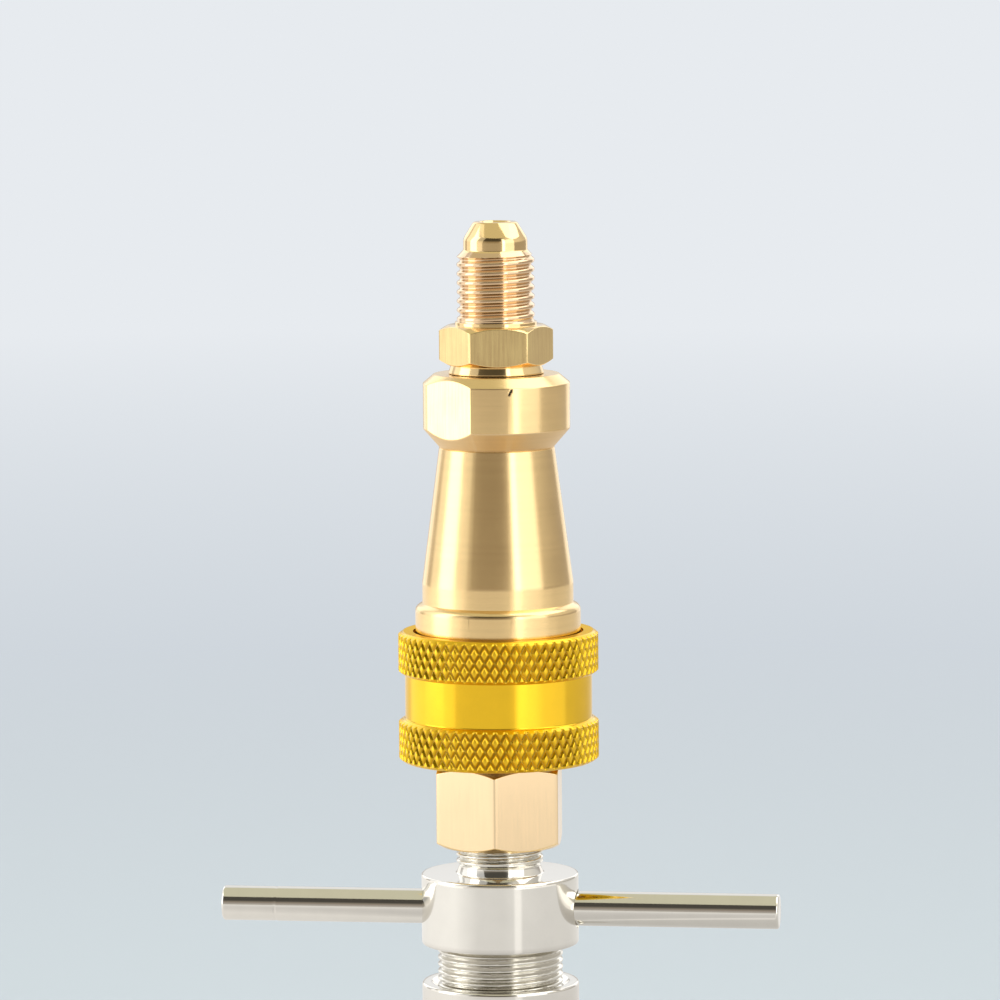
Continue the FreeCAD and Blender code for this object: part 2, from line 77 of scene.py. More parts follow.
def extent(node, axis):
    """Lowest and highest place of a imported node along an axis, in millimetres."""
    return [(corner / MM)[axis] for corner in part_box(node)]


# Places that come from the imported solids, in millimetres
X, Z = 0, 2
ADAPTER_FOOT, FLARE_TOP = extent("flare_adapter", Z)
BODY_FOOT, BODY_TOP = extent("socket_body", Z)
SLEEVE_FOOT, SLEEVE_TOP = extent("lock_sleeve", Z)
PLUG_FOOT, PLUG_TIP = extent("plug_nipple", Z)
SCREW_FOOT, STEM_TOP = extent("tee_screw", Z)
SNAP_FOOT, SNAP_TOP = extent("snap_ring", Z)
BARREL_TOP = extent("clamp_barrel", Z)[1]
GUIDE_FOOT = extent("valve_guide", Z)[0]
BALL_HEIGHT = sum(extent("locking_balls", Z)) / 2
HANDLE_HEIGHT = sum(extent("handle_right", Z)) / 2
HANDLE_ROOT, HANDLE_REACH = extent("handle_right", X)

# Flare adapter, millimetres
FLARE_BORE = 2.0
FLARE_RIM = 3.1
FLARE_NOSE = 4.58
FLARE_CONE = 2.4
FLARE_NOSE_LENGTH = 1.6
FLARE_MOUTH = 0.3
FLARE_MAJOR = 5.55
FLARE_THREAD_LENGTH = 10.25
FLARE_ROW_PITCH = 1.27
FLARE_RUNOUT = 0.9
WASHER_FACE = 5.85
WASHER_FACE_HEIGHT = 0.5
ADAPTER_HEX = 14.29
ADAPTER_HEX_HEIGHT = 5.65
ADAPTER_HEX_TURN = 11.0
ADAPTER_FLANGE = 6.9
ADAPTER_FLANGE_LEAN = 0.42
ADAPTER_SEAT = 0.02
ADAPTER_SPIGOT = 5.98
ADAPTER_NECK = 5.35
ADAPTER_NECK_HEIGHT = 1.35
ADAPTER_WIDE_BORE = 4.7
ADAPTER_WIDE_DEPTH = 4.0

# Socket body, millimetres
BODY_RADIUS = 11.85
BODY_SHOULDER = 0.6
BODY_SHOULDER_DROP = 0.6
BODY_SHOWN = 4.1
SHELF_DROP = 2.0
CUFF_RADIUS = 10.825
CUFF_HEIGHT = 2.9
TAPER_LENGTH = 19.4
NECK_RADIUS = 8.15
NECK_EDGE = 0.12
NECK_EDGE_DROP = 0.05
GRIP_RADIUS = 10.5
GRIP_LOWER_BEVEL = 2.7
GRIP_HEIGHT = 6.55
GRIP_UPPER_BEVEL = 1.3
GRIP_TOP_RADIUS = 8.95
FLATS = 19.05
FLATS_TURN = 52.5
FLATS_MISS = 0.02
FLATS_FACING = 0.999
LEAST_COSINE = 0.05
NICK_ANGLE = -71.2
NICK_SLANT = 1.5
NICK_WIDTH = 0.9
NICK_DEPTH = 0.28
NICK_HEIGHT = 1.0
NICK_DROP = 1.1
NICK_ROWS = 6
NICK_STEPS = 3
NICK_REACH = 8
NICK_FACING = 0.99
NICK_SHALLOW = 6
SOCKET_BORE = 6.35
SOCKET_LEAD = 0.35
SOCKET_DEPTH = 13.25
NOSE_RADIUS = 8.5375
SNAP_GROOVE = 7.94
SEAT_BORE = 3.7
SEAT_DEPTH = 2.4
CHAMBER_BORE = 5.45
SPIGOT_BORE = 6.05
RING_POCKET = 6.7
BALL_HOLE = 1.64
BALL_COUNT = 8

# Lock sleeve, millimetres
SLEEVE_RADIUS = 14.35
SLEEVE_WAIST = 13.425
SLEEVE_EDGE_RADIUS = 13.7
KNURL_BAND = 6.15
KNURL_BEVEL = 0.5
SLEEVE_MOUTH = 9.755
SLEEVE_LAND = 8.6775
SLEEVE_BORE = 11.99
SLEEVE_CHAMFER = 0.45
SLEEVE_SLOT = 0.22
SLEEVE_SLOT_DEPTH = 1.3
LAND_FOOT = 2.9
LAND_TOP = 8.575

# Plug nipple, millimetres
PLUG_HEX = 17.46
PLUG_HEX_HEIGHT = 11.85
PLUG_HEX_TURN = 34.0
PLUG_RADIUS = 6.3
PLUG_LEAD = 0.9
PLUG_SOCKET = 6.3
PLUG_SOCKET_DEPTH = 9.5
GAS_BORE = 2.4
BALL_CIRCLE = 7.0375
BALL_GROOVE = 1.6375

# Tee screw, handles and barrel, millimetres
SCREW_MAJOR = 9.0
SCREW_PILOT = 8.0
SCREW_PILOT_TOP = 20.5
SCREW_BORE = 3.5
SCREW_RUNOUT = 0.2
TEE_RADIUS = 11.3
TEE_HEIGHT = 10.2
TEE_FOOT = HANDLE_HEIGHT - TEE_HEIGHT / 2
TEE_EDGE = 0.4
TEE_UNDERCUT = 0.8
STEM_MAJOR = 6.25
STEM_LEAD = 0.6
STEM_NECK = 0.45
STEM_NECK_HEIGHT = 1.3
STEM_RUNOUT = 0.5
HANDLE_RADIUS = 2.5
HANDLE_EDGE = 0.4
HANDLE_MARK = 7.8
HANDLE_MARK_DEPTH = 0.09
HANDLE_MARK_WAVE = (0.6, 0.4)
HANDLE_MARK_START = 0.25
HANDLE_MARK_END = 0.35
HANDLE_MARK_END_SHARE = 0.3
HANDLE_SOCKET = 2.51
HANDLE_SOCKET_EDGE = 0.3
DRILL_SEAT = 0.02
DRILL_PAST = 1.0
BARREL_RADIUS = 11.3
BARREL_EDGE = 0.5
BARREL_MOUTH = 9.95
BARREL_THREAD = 9.05
BARREL_MOUTH_CHAMFER = 0.9
BARREL_CHAMBER = 8.1
BARREL_CHAMBER_TOP = 17.8
BARREL_FLOOR = 4.0
TUBE_BORE = 3.3
TUBE_LEAD = 0.5

# Stage, metres
FLOOR_RADIUS = 1.6
FLOOR_SWEEP = 0.5
WALL_HEIGHT = 2.4
STAGE_SIDES = 64
SWEEP_STEPS = 12
PALE_DEPTH = (0.1, 1.5)
EVEN_REACH = (0.12, 0.6)
EVEN_SHARE = (0.4, 1.0)
SKY_COLOUR = (1.0, 0.96, 0.72, 1)
SENSOR_WIDTH = 36.0
NEAR_CLIP = 0.01

# Panels: bearing to the right of the camera in degrees, distance, height, size and the property with their brightness
PANEL_AIM = 0.33
PANELS = (
    ("left_panel", -86, 0.62, 0.33, (0.34, 0.80), "left_glow"),
    ("wide_panel", -86, 0.66, 0.43, (1.10, 1.0), "wide_glow"),
    ("right_panel", 30, 0.75, 0.33, (0.14, 0.80), "right_glow"),
    ("side_panel", 49, 0.95, 0.33, (0.80, 0.80), "side_glow"),
    ("top_panel", -20, 0.25, 0.95, (0.60, 0.60), "top_glow"),
    ("over_panel", 100, 0.45, 0.85, (0.90, 0.80), "over_glow"),
    ("back_left_panel", -150, 0.80, 0.33, (0.35, 0.80), "back_glow"),
    ("back_right_panel", 155, 0.80, 0.33, (0.35, 0.80), "back_glow"),
)
UNMIRRORED_PANEL = "top_panel"

# What the metal mirrors: tones of the wall and shares of the floor's tone from behind the camera's left (0) to
# behind its right (1), and tones of the floor from the axis (0) to the wall (1)
ROOM_SKIRTING = (0.16, 0.42)
ROOM_WALL = (
    (0.0, (1.0, 1.0, 1.0)), (0.22, (0.74, 0.73, 0.71)), (0.36, (0.48, 0.44, 0.37)),
    (0.42, (0.37, 0.32, 0.26)), (0.53, (0.37, 0.32, 0.26)), (0.58, (0.92, 0.88, 0.80)),
    (0.75, (0.92, 0.88, 0.80)), (0.90, (0.66, 0.64, 0.62)), (1.0, (1.0, 1.0, 1.0)),
)
ROOM_UPPER = (0.5, 1.0)
ROOM_UPPER_BEARING = -0.37
ROOM_UPPER_REACH = (0.7, 1.2)
ROOM_UPPER_SHARE = 0.95
ROOM_UPPER_TONE = (0.07, 0.065, 0.055, 1)
ROOM_SHARE = (
    (0.0, 0.95), (0.16, 1.18), (0.31, 1.22), (0.41, 0.92), (0.51, 0.89), (0.553, 0.95),
    (0.56, 1.22), (0.58, 1.22), (0.59, 0.92), (0.69, 0.88), (0.83, 0.88), (1.0, 0.95),
)
ROOM_BAND_SHARE = (
    (0.0, 0.80), (0.11, 0.95), (0.135, 1.40), (0.30, 1.50), (0.345, 1.35), (0.352, 0.90), (0.535, 0.86),
    (0.553, 1.0), (0.565, 1.85), (0.62, 1.75), (0.66, 1.28), (0.74, 1.15), (0.755, 0.80), (0.88, 0.70),
    (1.0, 0.80),
)
ROOM_BAND_START = (0.38, 0.44)
ROOM_BAND_END = (0.58, 0.72)
ROOM_FLOOR = (
    (0.0, (0.72, 0.70, 0.67)), (0.075, (0.85, 0.82, 0.79)), (0.14, (0.98, 0.96, 0.93)),
    (0.24, (0.98, 0.96, 0.93)), (0.32, (1.05, 1.01, 0.95)), (0.41, (1.18, 1.12, 1.02)),
    (0.46, (0.95, 0.91, 0.84)), (0.59, (0.70, 0.66, 0.60)), (0.70, (0.52, 0.48, 0.44)),
    (0.78, (0.56, 0.52, 0.48)), (0.89, (0.92, 0.87, 0.79)), (1.0, (0.54, 0.50, 0.46)),
)

# Cutter trees: where they note how deep they cut, how many depths below the skin they reach, and their shapes
CUT_NAME = "cut_share"
CUT_REACH = 1.6
THREAD_FLANK = 0.84
KNURL_CREST = (0.03, 0.52)

# Noise that counts as darkest and lightest
NOISE_REACH = 0.35

# Painted shade in the knurl's grooves: how dark it gets, over which share of the cut depth, and the shaded gold as a
# share of the gold; then the dye's colour at a glancing angle
GROOVE_SHADE = 0.7
GROOVE_SHADE_SPAN = (0.55, 1.0)
GROOVE_SHADE_TONE = 0.25
DYE_EDGE = (1.0, 0.86, 0.45)

# Mesh fineness; rows are per millimetre in the fine threads and per pitch in the flare's
EASE = 0.09
SHARP = 0.0
EASE_ROOM = 0.45
ARC_STEPS = 4
SIDES = 192
HANDLE_SIDES = 96
DRILL_SIDES = 48
FLARE_ROWS = 20
SCREW_ROWS = 16
STEM_ROWS = 12
TEE_ROWS = 20
CAGE_ROWS = 8
GROOVE_STEPS = 8
KNURL_STEPS = 6
EDGE_STEP = 0.25
MERGE = 1e-7
SHARP_ANGLE = math.radians(32)

# Hexagons: chamfer circle as a share of the width across flats, its slope, and what the corners lose
HEX_FACE = 0.97
HEX_BEVEL = math.tan(math.radians(30))
HEX_CORNER = 0.10

# Places of the finishes that a turned piece lists after its main one
HEX_FINISH = FLAT_FINISH = RIM_FINISH = 1
# The dent's finish is painted shade
NICK_SHADE_FINISH = 2
NECK_SHADE_FINISH = 3


def length_property(name, description, default):
    return FloatProperty(name=name, description=description, default=default, unit="LENGTH", precision=5)


def angle_property(name, description, degrees):
    return FloatProperty(name=name, description=description, default=math.radians(degrees), subtype="ANGLE")


def colour_property(name, description, *default):
    return FloatVectorProperty(name=name, description=description, default=default, subtype="COLOR", min=0, max=1)


def glow_property(name, default):
    return FloatProperty(name=name, description=f"Brightness of the {name.lower()}", default=default)


class CouplerThreads(bpy.types.PropertyGroup):
    """Threads and knurl that the node trees cut."""

    flare_pitch: length_property("Flare pitch", "Rise of the flare thread in one turn", 1.30 * MM)
    flare_depth: length_property("Flare depth", "Depth of the flare thread", 0.46 * MM)
    stem_pitch: length_property("Stem pitch", "Rise of the stem's thread in one turn", 1.0 * MM)
    screw_pitch: length_property("Screw pitch", "Rise of the clamp screw in one turn", 1.0 * MM)
    fine_depth: length_property("Fine depth", "Depth of the two fine threads", 0.52 * MM)
    knurl_count: IntProperty(name="Knurl diamonds", description="Diamonds round the sleeve", default=60, min=8)
    knurl_rows: IntProperty(name="Knurl rows", description="Half rows of diamonds in each band", default=4, min=2)
    knurl_depth: length_property("Knurl depth", "Depth of the knurl's grooves", 0.36 * MM)


class CouplerColours(bpy.types.PropertyGroup):
    """Colours of the finishes."""

    brass: colour_property("Turned brass", "Satin brass of the turned bodies", 0.86, 0.635, 0.32)
    brass_red: colour_property("Threaded brass", "Redder brass in the flare thread", 0.74, 0.54, 0.34)
    brass_drawn: colour_property("Drawn brass", "Streaky brass on the adapter's hexagon", 0.90, 0.65, 0.31)
    brass_pale: colour_property("Pale brass", "Paler brass on the plug's hexagon", 0.87, 0.67, 0.42)
    # Painted shade: the turned brass darkened for the bevel under the collar, which mirrors the taper
    brass_neck: colour_property("Neck brass", "Brass under the collar, which mirrors the taper", 0.77, 0.555, 0.29)
    # Painted shade for the collar's dent: the turned brass darkened to a tenth
    brass_nick: colour_property("Dent", "Painted shade in the collar's dent", 0.086, 0.0635, 0.032)
    gold: colour_property("Anodised gold", "Yellow anodised sleeve", 0.83, 0.515, 0.005)
    nickel: colour_property("Nickel", "Bright nickel plate", 0.76, 0.74, 0.69)
    nickel_dull: colour_property("Threaded nickel", "Duller plate in the fine threads", 0.72, 0.70, 0.64)
    steel: colour_property("Steel", "Springs, balls and snap ring", 0.56, 0.56, 0.57)
    rubber: colour_property("Rubber", "Seals", 0.022, 0.022, 0.023)
    polymer: colour_property("Gasket", "White polymer gasket", 0.82, 0.81, 0.77)
    floor: colour_property("Floor", "Pale floor", 0.53, 0.588, 0.643)
    backdrop: colour_property("Backdrop", "Paler upper backdrop", 0.80, 0.83, 0.865)


class CouplerStage(bpy.types.PropertyGroup):
    """Camera and studio."""

    camera_distance: length_property("Camera distance", "From the common axis", 0.93)
    camera_height: length_property("Camera height", "Above the floor", 0.202)
    camera_turn: angle_property("Camera turn", "Towards the right handle", 8.0)
    camera_roll: angle_property("Camera roll", "Lean of the picture", -0.42)
    aim_height: length_property("Aim height", "Point of the axis at the picture's centre", 0.10013)
    aim_side: length_property("Aim side", "How far right of the axis the camera aims", 0.0004)
    focal_length: FloatProperty(
        name="Focal length", description="On a 36 mm wide sensor, in millimetres", default=235.4)
    left_glow: glow_property("Left panel", 1.5)
    wide_glow: glow_property("Wide left panel", 0.55)
    right_glow: glow_property("Right panel", 1.4)
    side_glow: glow_property("Wide right panel", 1.0)
    top_glow: glow_property("Top panel", 3.0)
    over_glow: glow_property("Panel over the right side", 1.6)
    back_glow: glow_property("Back panels", 0.7)
    ambient: glow_property("Light from above", 0.72)


def threads():
    return bpy.context.scene.coupler_threads


def colours():
    return bpy.context.scene.coupler_colours


def stage_setup():
    return bpy.context.scene.coupler_stage


# Node helpers, for shader and geometry trees alike


class Number:
    """Number in a node tree; each sign between two of them adds a Math node."""

    def __init__(self, tree, socket):
        self.tree = tree
        self.socket = socket

    def maths(self, operation, *others):
        node = self.tree.nodes.new("ShaderNodeMath")
        node.operation = operation
        for socket, value in zip(node.inputs, (self, *others)):
            feed(self.tree, socket, value)
        return Number(self.tree, node.outputs[0])

    def __add__(self, other):
        return self.maths("ADD", other)

    def __sub__(self, other):
        return self.maths("SUBTRACT", other)

    def __rsub__(self, other):
        return self * -1.0 + other

    def __mul__(self, other):
        return self.maths("MULTIPLY", other)

    def __truediv__(self, other):
        return self.maths("DIVIDE", other)

    def remap(self, low, high, to_low=0.0, to_high=1.0, smooth=False):
        """Clamped map from one range to another."""
        node = self.tree.nodes.new("ShaderNodeMapRange")
        node.interpolation_type = "SMOOTHSTEP" if smooth else "LINEAR"
        names = ("Value", "From Min", "From Max", "To Min", "To Max")
        for name, value in zip(names, (self, low, high, to_low, to_high)):
            feed(self.tree, node.inputs[name], value)
        return Number(self.tree, node.outputs["Result"])


def feed(tree, socket, value):
    """Links an output to an input, or sets the input's constant."""
    if isinstance(value, Number):
        value = value.socket
    if isinstance(value, bpy.types.NodeSocket):
        tree.links.new(value, socket)
    else:
        socket.default_value = value


def axes(tree, vector):
    """The three numbers of a vector."""
    node = tree.nodes.new("ShaderNodeSeparateXYZ")
    tree.links.new(vector, node.inputs[0])
    return [Number(tree, socket) for socket in node.outputs]


def axis_radius(x, y):
    return (x * x + y * y).maths("SQRT")


def colour_mix(tree, factor, first, second, blend="MIX"):
    node = tree.nodes.new("ShaderNodeMix")
    node.data_type = "RGBA"
    node.blend_type = blend
    for place, value in (("Factor", factor), (6, first), (7, second)):
        feed(tree, node.inputs[place], value)
    return node.outputs[2]


# Finishes


def bare_material(name):
    """Material with an empty node tree."""
    material = bpy.data.materials.new(name)
    material.use_nodes = True
    material.node_tree.nodes.clear()
    return material


class Finish:
    """Material in the making: its tree, its shader's inputs and its object coordinates."""

    def __init__(self, name, metallic):
        self.material = bare_material(name)
        self.tree = self.material.node_tree
        output = self.tree.nodes.new("ShaderNodeOutputMaterial")
        shader = self.tree.nodes.new("ShaderNodeBsdfPrincipled")
        self.tree.links.new(shader.outputs[0], output.inputs[0])
        self.inputs = shader.inputs
        self.place = self.tree.nodes.new("ShaderNodeTexCoord").outputs["Object"]
        self.set("Metallic", metallic)

    def set(self, name, value):
        feed(self.tree, self.inputs[name], value)

    def noise(self, dimensions, **inputs):
        """Noise from -0.5 to 0.5."""
        node = self.tree.nodes.new("ShaderNodeTexNoise")
        node.noise_dimensions = dimensions
        for name, value in inputs.items():
            feed(self.tree, node.inputs[name.title()], value)
        return Number(self.tree, node.outputs[0]) - 0.5

    def cloud(self, scale, detail=3.0, roughness=0.55, vector=None):
        """Noise in space, per metre."""
        return self.noise("3D", vector=vector or self.place, scale=scale, detail=detail, roughness=roughness)

    def lines(self, along, scale):
        """Noise along one number, for tool marks."""
        return self.noise("1D", w=along, scale=scale, detail=2.0)

    def stretched(self, scale, rotation=(0.0, 0.0, 0.0)):
        """Object coordinates that draw a cloud out into streaks."""
        node = self.tree.nodes.new("ShaderNodeMapping")
        for name, value in (("Vector", self.place), ("Rotation", rotation), ("Scale", scale)):
            feed(self.tree, node.inputs[name], value)
        return node.outputs[0]

    def tint(self, colour, amount, value):
        """Base colour that is a little lighter or darker where value is above or below zero."""
        darker = [channel * (1 - amount) for channel in colour]
        lighter = [min(1.0, channel * (1 + amount)) for channel in colour]
        tinted = colour_mix(self.tree, value.remap(-NOISE_REACH, NOISE_REACH), (*darker, 1), (*lighter, 1))
        self.set("Base Color", tinted)
        return tinted

    def relief(self, height, distance, strength):
        bump = self.tree.nodes.new("ShaderNodeBump")
        for name, value in (("Distance", distance), ("Strength", strength), ("Height", height)):
            feed(self.tree, bump.inputs[name], value)
        self.set("Normal", bump.outputs[0])


def turned_metal(name, colour, roughness, marks):
    """Metal with fine lathe marks round the axis."""
    made = Finish(name, metallic=1.0)
    x, y, z = axes(made.tree, made.place)
    along = z + axis_radius(x, y)
    fine = made.lines(along, scale=9000.0)
    coarse = made.lines(along, scale=1400.0)
    patch = made.cloud(scale=160.0)
    made.tint(colour, 0.05, patch + coarse * 0.5)
    made.set("Roughness", patch * 0.10 + fine * 0.06 + roughness)
    made.relief(fine + coarse * 0.6, 0.004 * MM, marks)
    return made.material


def drawn_metal(name, colour, roughness, marks, contrast):
    """Metal with drawing streaks along the axis."""
    made = Finish(name, metallic=1.0)
    along = made.stretched(scale=(1.0, 1.0, 0.035))
    streaks = made.cloud(scale=3600.0, detail=4.0, roughness=0.65, vector=along)
    patch = made.cloud(scale=220.0)
    made.tint(colour, contrast, streaks + patch * 0.6)
    made.set("Roughness", streaks * 0.16 + patch * 0.08 + roughness)
    made.relief(streaks, 0.008 * MM, marks)
    return made.material


def plated_metal(name, colour, roughness):
    """Bright plating with a slight haze and hairline scuffs."""
    made = Finish(name, metallic=1.0)
    haze = made.cloud(scale=260.0)
    across = made.stretched(scale=(1.0, 0.06, 1.0), rotation=(0.3, 0.9, 0.4))
    scuffs = made.cloud(scale=2600.0, detail=5.0, roughness=0.7, vector=across)
    made.tint(colour, 0.035, haze)
    made.set("Roughness", haze * 0.05 + scuffs.remap(0.12, 0.3, 0.0, 0.10) + roughness)
    made.relief(haze, 0.02 * MM, 0.12)
    return made.material


def anodised_metal(name, colour, roughness, coat):
    """Dyed oxide on aluminium: coloured metal under a thin clear skin, with painted shade in cut grooves."""
    made = Finish(name, metallic=1.0)
    grain = made.cloud(scale=5200.0, detail=2.0)
    patch = made.cloud(scale=240.0)
    dyed = made.tint(colour, 0.06, patch)
    # Painted shade: the base colour darkens towards a dimmed gold where the cut share is high, in the knurl's grooves
    groove = made.tree.nodes.new("ShaderNodeAttribute")
    groove.attribute_name = CUT_NAME
    shade = Number(made.tree, groove.outputs["Fac"]).remap(*GROOVE_SHADE_SPAN, 0.0, GROOVE_SHADE)
    deep = [channel * GROOVE_SHADE_TONE for channel in colour]
    made.set("Base Color", colour_mix(made.tree, shade, dyed, (*deep, 1)))
    made.set("Roughness", grain * 0.08 + patch * 0.05 + roughness)
    made.set("Specular Tint", (*DYE_EDGE, 1))
    made.set("Coat Weight", coat)
    made.set("Coat Roughness", 0.12)
    made.relief(grain, 0.004 * MM, 0.2)
    return made.material


def matt_polymer(name, colour, roughness, grain_scale):
    """Matt moulded surface with fine grain."""
    made = Finish(name, metallic=0.0)
    grain = made.cloud(grain_scale, detail=4.0)
    made.tint(colour, 0.10, grain)
    made.set("Roughness", grain * 0.2 + roughness)
    made.relief(grain, 0.01 * MM, 0.3)
    return made.material


# Maker, colour, roughness and what else the maker asks for
FINISHES = {
    "turned_brass": (turned_metal, "brass", 0.21, 0.35),
    "bright_brass": (turned_metal, "brass", 0.10, 0.15),
    "threaded_brass": (turned_metal, "brass_red", 0.12, 0.15),
    "drawn_brass": (drawn_metal, "brass_drawn", 0.15, 0.6, 0.22),
    "pale_brass": (drawn_metal, "brass_pale", 0.17, 0.2, 0.03),
    # Partly painted shade: rougher turned brass, with a darker colour painted for the bevel under the collar
    "neck_brass": (turned_metal, "brass_neck", 0.40, 0.35),
    # Painted shade: a dark matt finish for the bottom of the collar's dent
    "nick_brass": (matt_polymer, "brass_nick", 0.6, 2400.0),
    "gold_dye": (anodised_metal, "gold", 0.13, 0.6),
    "gold_knurl": (anodised_metal, "gold", 0.30, 0.6),
    "gold_rim": (anodised_metal, "gold", 0.30, 0.0),
    "nickel_bright": (plated_metal, "nickel", 0.085),
    "nickel_thread": (turned_metal, "nickel_dull", 0.16, 0.2),
    "steel_bright": (turned_metal, "steel", 0.22, 0.2),
    "rubber_black": (matt_polymer, "rubber", 0.62, 2400.0),
    "polymer_white": (matt_polymer, "polymer", 0.5, 1500.0),
}


def finish(name):
    """A finish by name, made the first time that it is asked for."""
    maker, colour, *numbers = FINISHES[name]
    return bpy.data.materials.get(name) or maker(name, getattr(colours(), colour), *numbers)


# Turned blanks

Corner = namedtuple("Corner", "radius height ease rows finish", defaults=(EASE, 1, 0))


def eased_outline(corners, closed):
    """Points (radius, height, finish) of an outline with rounded corners and rows along its runs."""
    count = len(corners)
    points = []
    for index, corner in enumerate(corners):
        here = Vector((corner.radius, corner.height))
        before = corners[index - 1]
        after = corners[(index + 1) % count]
        back = Vector((before.radius, before.height)) - here
        ahead = Vector((after.radius, after.height)) - here
        inner = closed or 0 < index < count - 1
        if corner.ease and inner:
            room_back = back.length * (EASE_ROOM if before.ease else 1.0)
            room_ahead = ahead.length * (EASE_ROOM if after.ease else 1.0)
            cut = min(corner.ease, room_back, room_ahead)
            start = here + back.normalized() * cut
            end = here + ahead.normalized() * cut
            for step in range(ARC_STEPS + 1):
                part = step / ARC_STEPS
                point = start * (1 - part) ** 2 + here * (2 * part * (1 - part)) + end * part ** 2
                points.append((point.x, point.y, corner.finish if step == ARC_STEPS else before.finish))
        else:
            points.append((here.x, here.y, corner.finish))
        for row in range(1, corner.rows):
            last = Vector(points[-row][:2])
            point = last.lerp(here + ahead, row / corner.rows)
            points.append((point.x, point.y, corner.finish))
    return points


def level(angle, distance=1.0, height=0.0):
    """Point at an angle round the axis."""
    return Vector((distance * math.cos(angle), distance * math.sin(angle), height))


def even_angles(count=SIDES):
    return [2 * math.pi * index / count for index in range(count)]


def hex_angles(turn, per_side=28, corner_steps=3, corner_half=0.9):
    """Angles round a hexagonal piece, closer together at its six corners."""
    angles = []
    for side in range(6):
        corner = 60 * side + turn
        for step in range(-corner_steps, corner_steps + 1):
            angles.append(corner + corner_half * step / corner_steps)
        span = 60 - 2 * corner_half
        for step in range(1, per_side):
            angles.append(corner + corner_half + span * step / per_side)
    return [math.radians(angle) for angle in angles]


def hex_section(across_flats, turn, angle):
    """Reach of a hexagon's side with slightly rounded corners, radius of its end face, and rise of the chamfer."""
    off = (math.degrees(angle) - turn) % 60 - 30
    side = across_flats / 2 / math.cos(math.radians(off))
    reach = min(side, across_flats / math.sqrt(3) - HEX_CORNER)
    face = across_flats / 2 * HEX_FACE
    return reach, face, (reach - face) * HEX_BEVEL


def merge(source, target, face_out=False):
    """Writes a mesh into another or itself with its doubled vertices joined, and may turn its faces outward."""
    work = bmesh.new()
    work.from_mesh(source)
    bmesh.ops.remove_doubles(work, verts=work.verts, dist=MERGE)
    if face_out:
        bmesh.ops.recalc_face_normals(work, faces=work.faces)
    work.to_mesh(target)
    work.free()


def turned_mesh(name, outline, angles, finishes, closed=True):
    """Mesh of an outline that may change with the angle, swept round the axis."""
    rings = [eased_outline(outline(angle), closed) for angle in angles]
    verts = [
        level(angle, radius * MM, height * MM)
        for angle, ring in zip(angles, rings) for radius, height, _ in ring]
    size = len(rings[0])
    spans = size if closed else size - 1
    faces = []
    marks = []
    for index in range(len(angles)):
        other = (index + 1) % len(angles)
        for step in range(spans):
            up = (step + 1) % size
            faces.append((index * size + step, other * size + step, other * size + up, index * size + up))
            marks.append(rings[0][step][2])
    mesh = bpy.data.meshes.new(name)
    mesh.from_pydata(verts, [], faces)
    mesh.polygons.foreach_set("material_index", marks)
    for finish_name in finishes:
        mesh.materials.append(finish(finish_name))
    merge(mesh, mesh, face_out=True)
    return mesh


def place_object(name, data):
    """Puts a mesh, a lamp or a camera in the scene."""
    made = bpy.data.objects.new(name, data)
    bpy.context.scene.collection.objects.link(made)
    return made


def turned_piece(node, outline, angles, finishes, closed=True):
    """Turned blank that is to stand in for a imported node."""
    name = f"{node}_dressed"
    return place_object(name, turned_mesh(name, outline, angles, finishes, closed))


def settled(piece):
    """Turns what the modifiers make into the piece's own plain mesh."""
    depsgraph = bpy.context.evaluated_depsgraph_get()
    plain = bpy.data.meshes.new_from_object(piece.evaluated_get(depsgraph))
    piece.modifiers.clear()
    piece.data = plain
    return piece


def drilled(piece, meshes):
    """Cuts closed meshes out of a piece."""
    drills = [place_object("drill", mesh) for mesh in meshes]
    for drill in drills:
        boolean = piece.modifiers.new("drill", "BOOLEAN")
        boolean.operation = "DIFFERENCE"
        boolean.solver = "EXACT"
        boolean.object = drill
    settled(piece)
    for drill in drills:
        bpy.data.objects.remove(drill)


def shaded(piece):
    """Shades a piece smoothly, flat on its large faces."""
    mesh = piece.data
    mesh.polygons.foreach_set("use_smooth", [True] * len(mesh.polygons))
    mesh.set_sharp_from_angle(angle=SHARP_ANGLE)
    even = piece.modifiers.new("even_normals", "WEIGHTED_NORMAL")
    even.mode = "FACE_AREA"
    even.keep_sharp = True
    return settled(piece)


def finished(piece, body, node):
    """Hands a shaded piece over as the stand-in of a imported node."""
    shaded(piece)
    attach(piece, body)
    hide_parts(node)
    return piece


# Node trees that cut threads and knurls


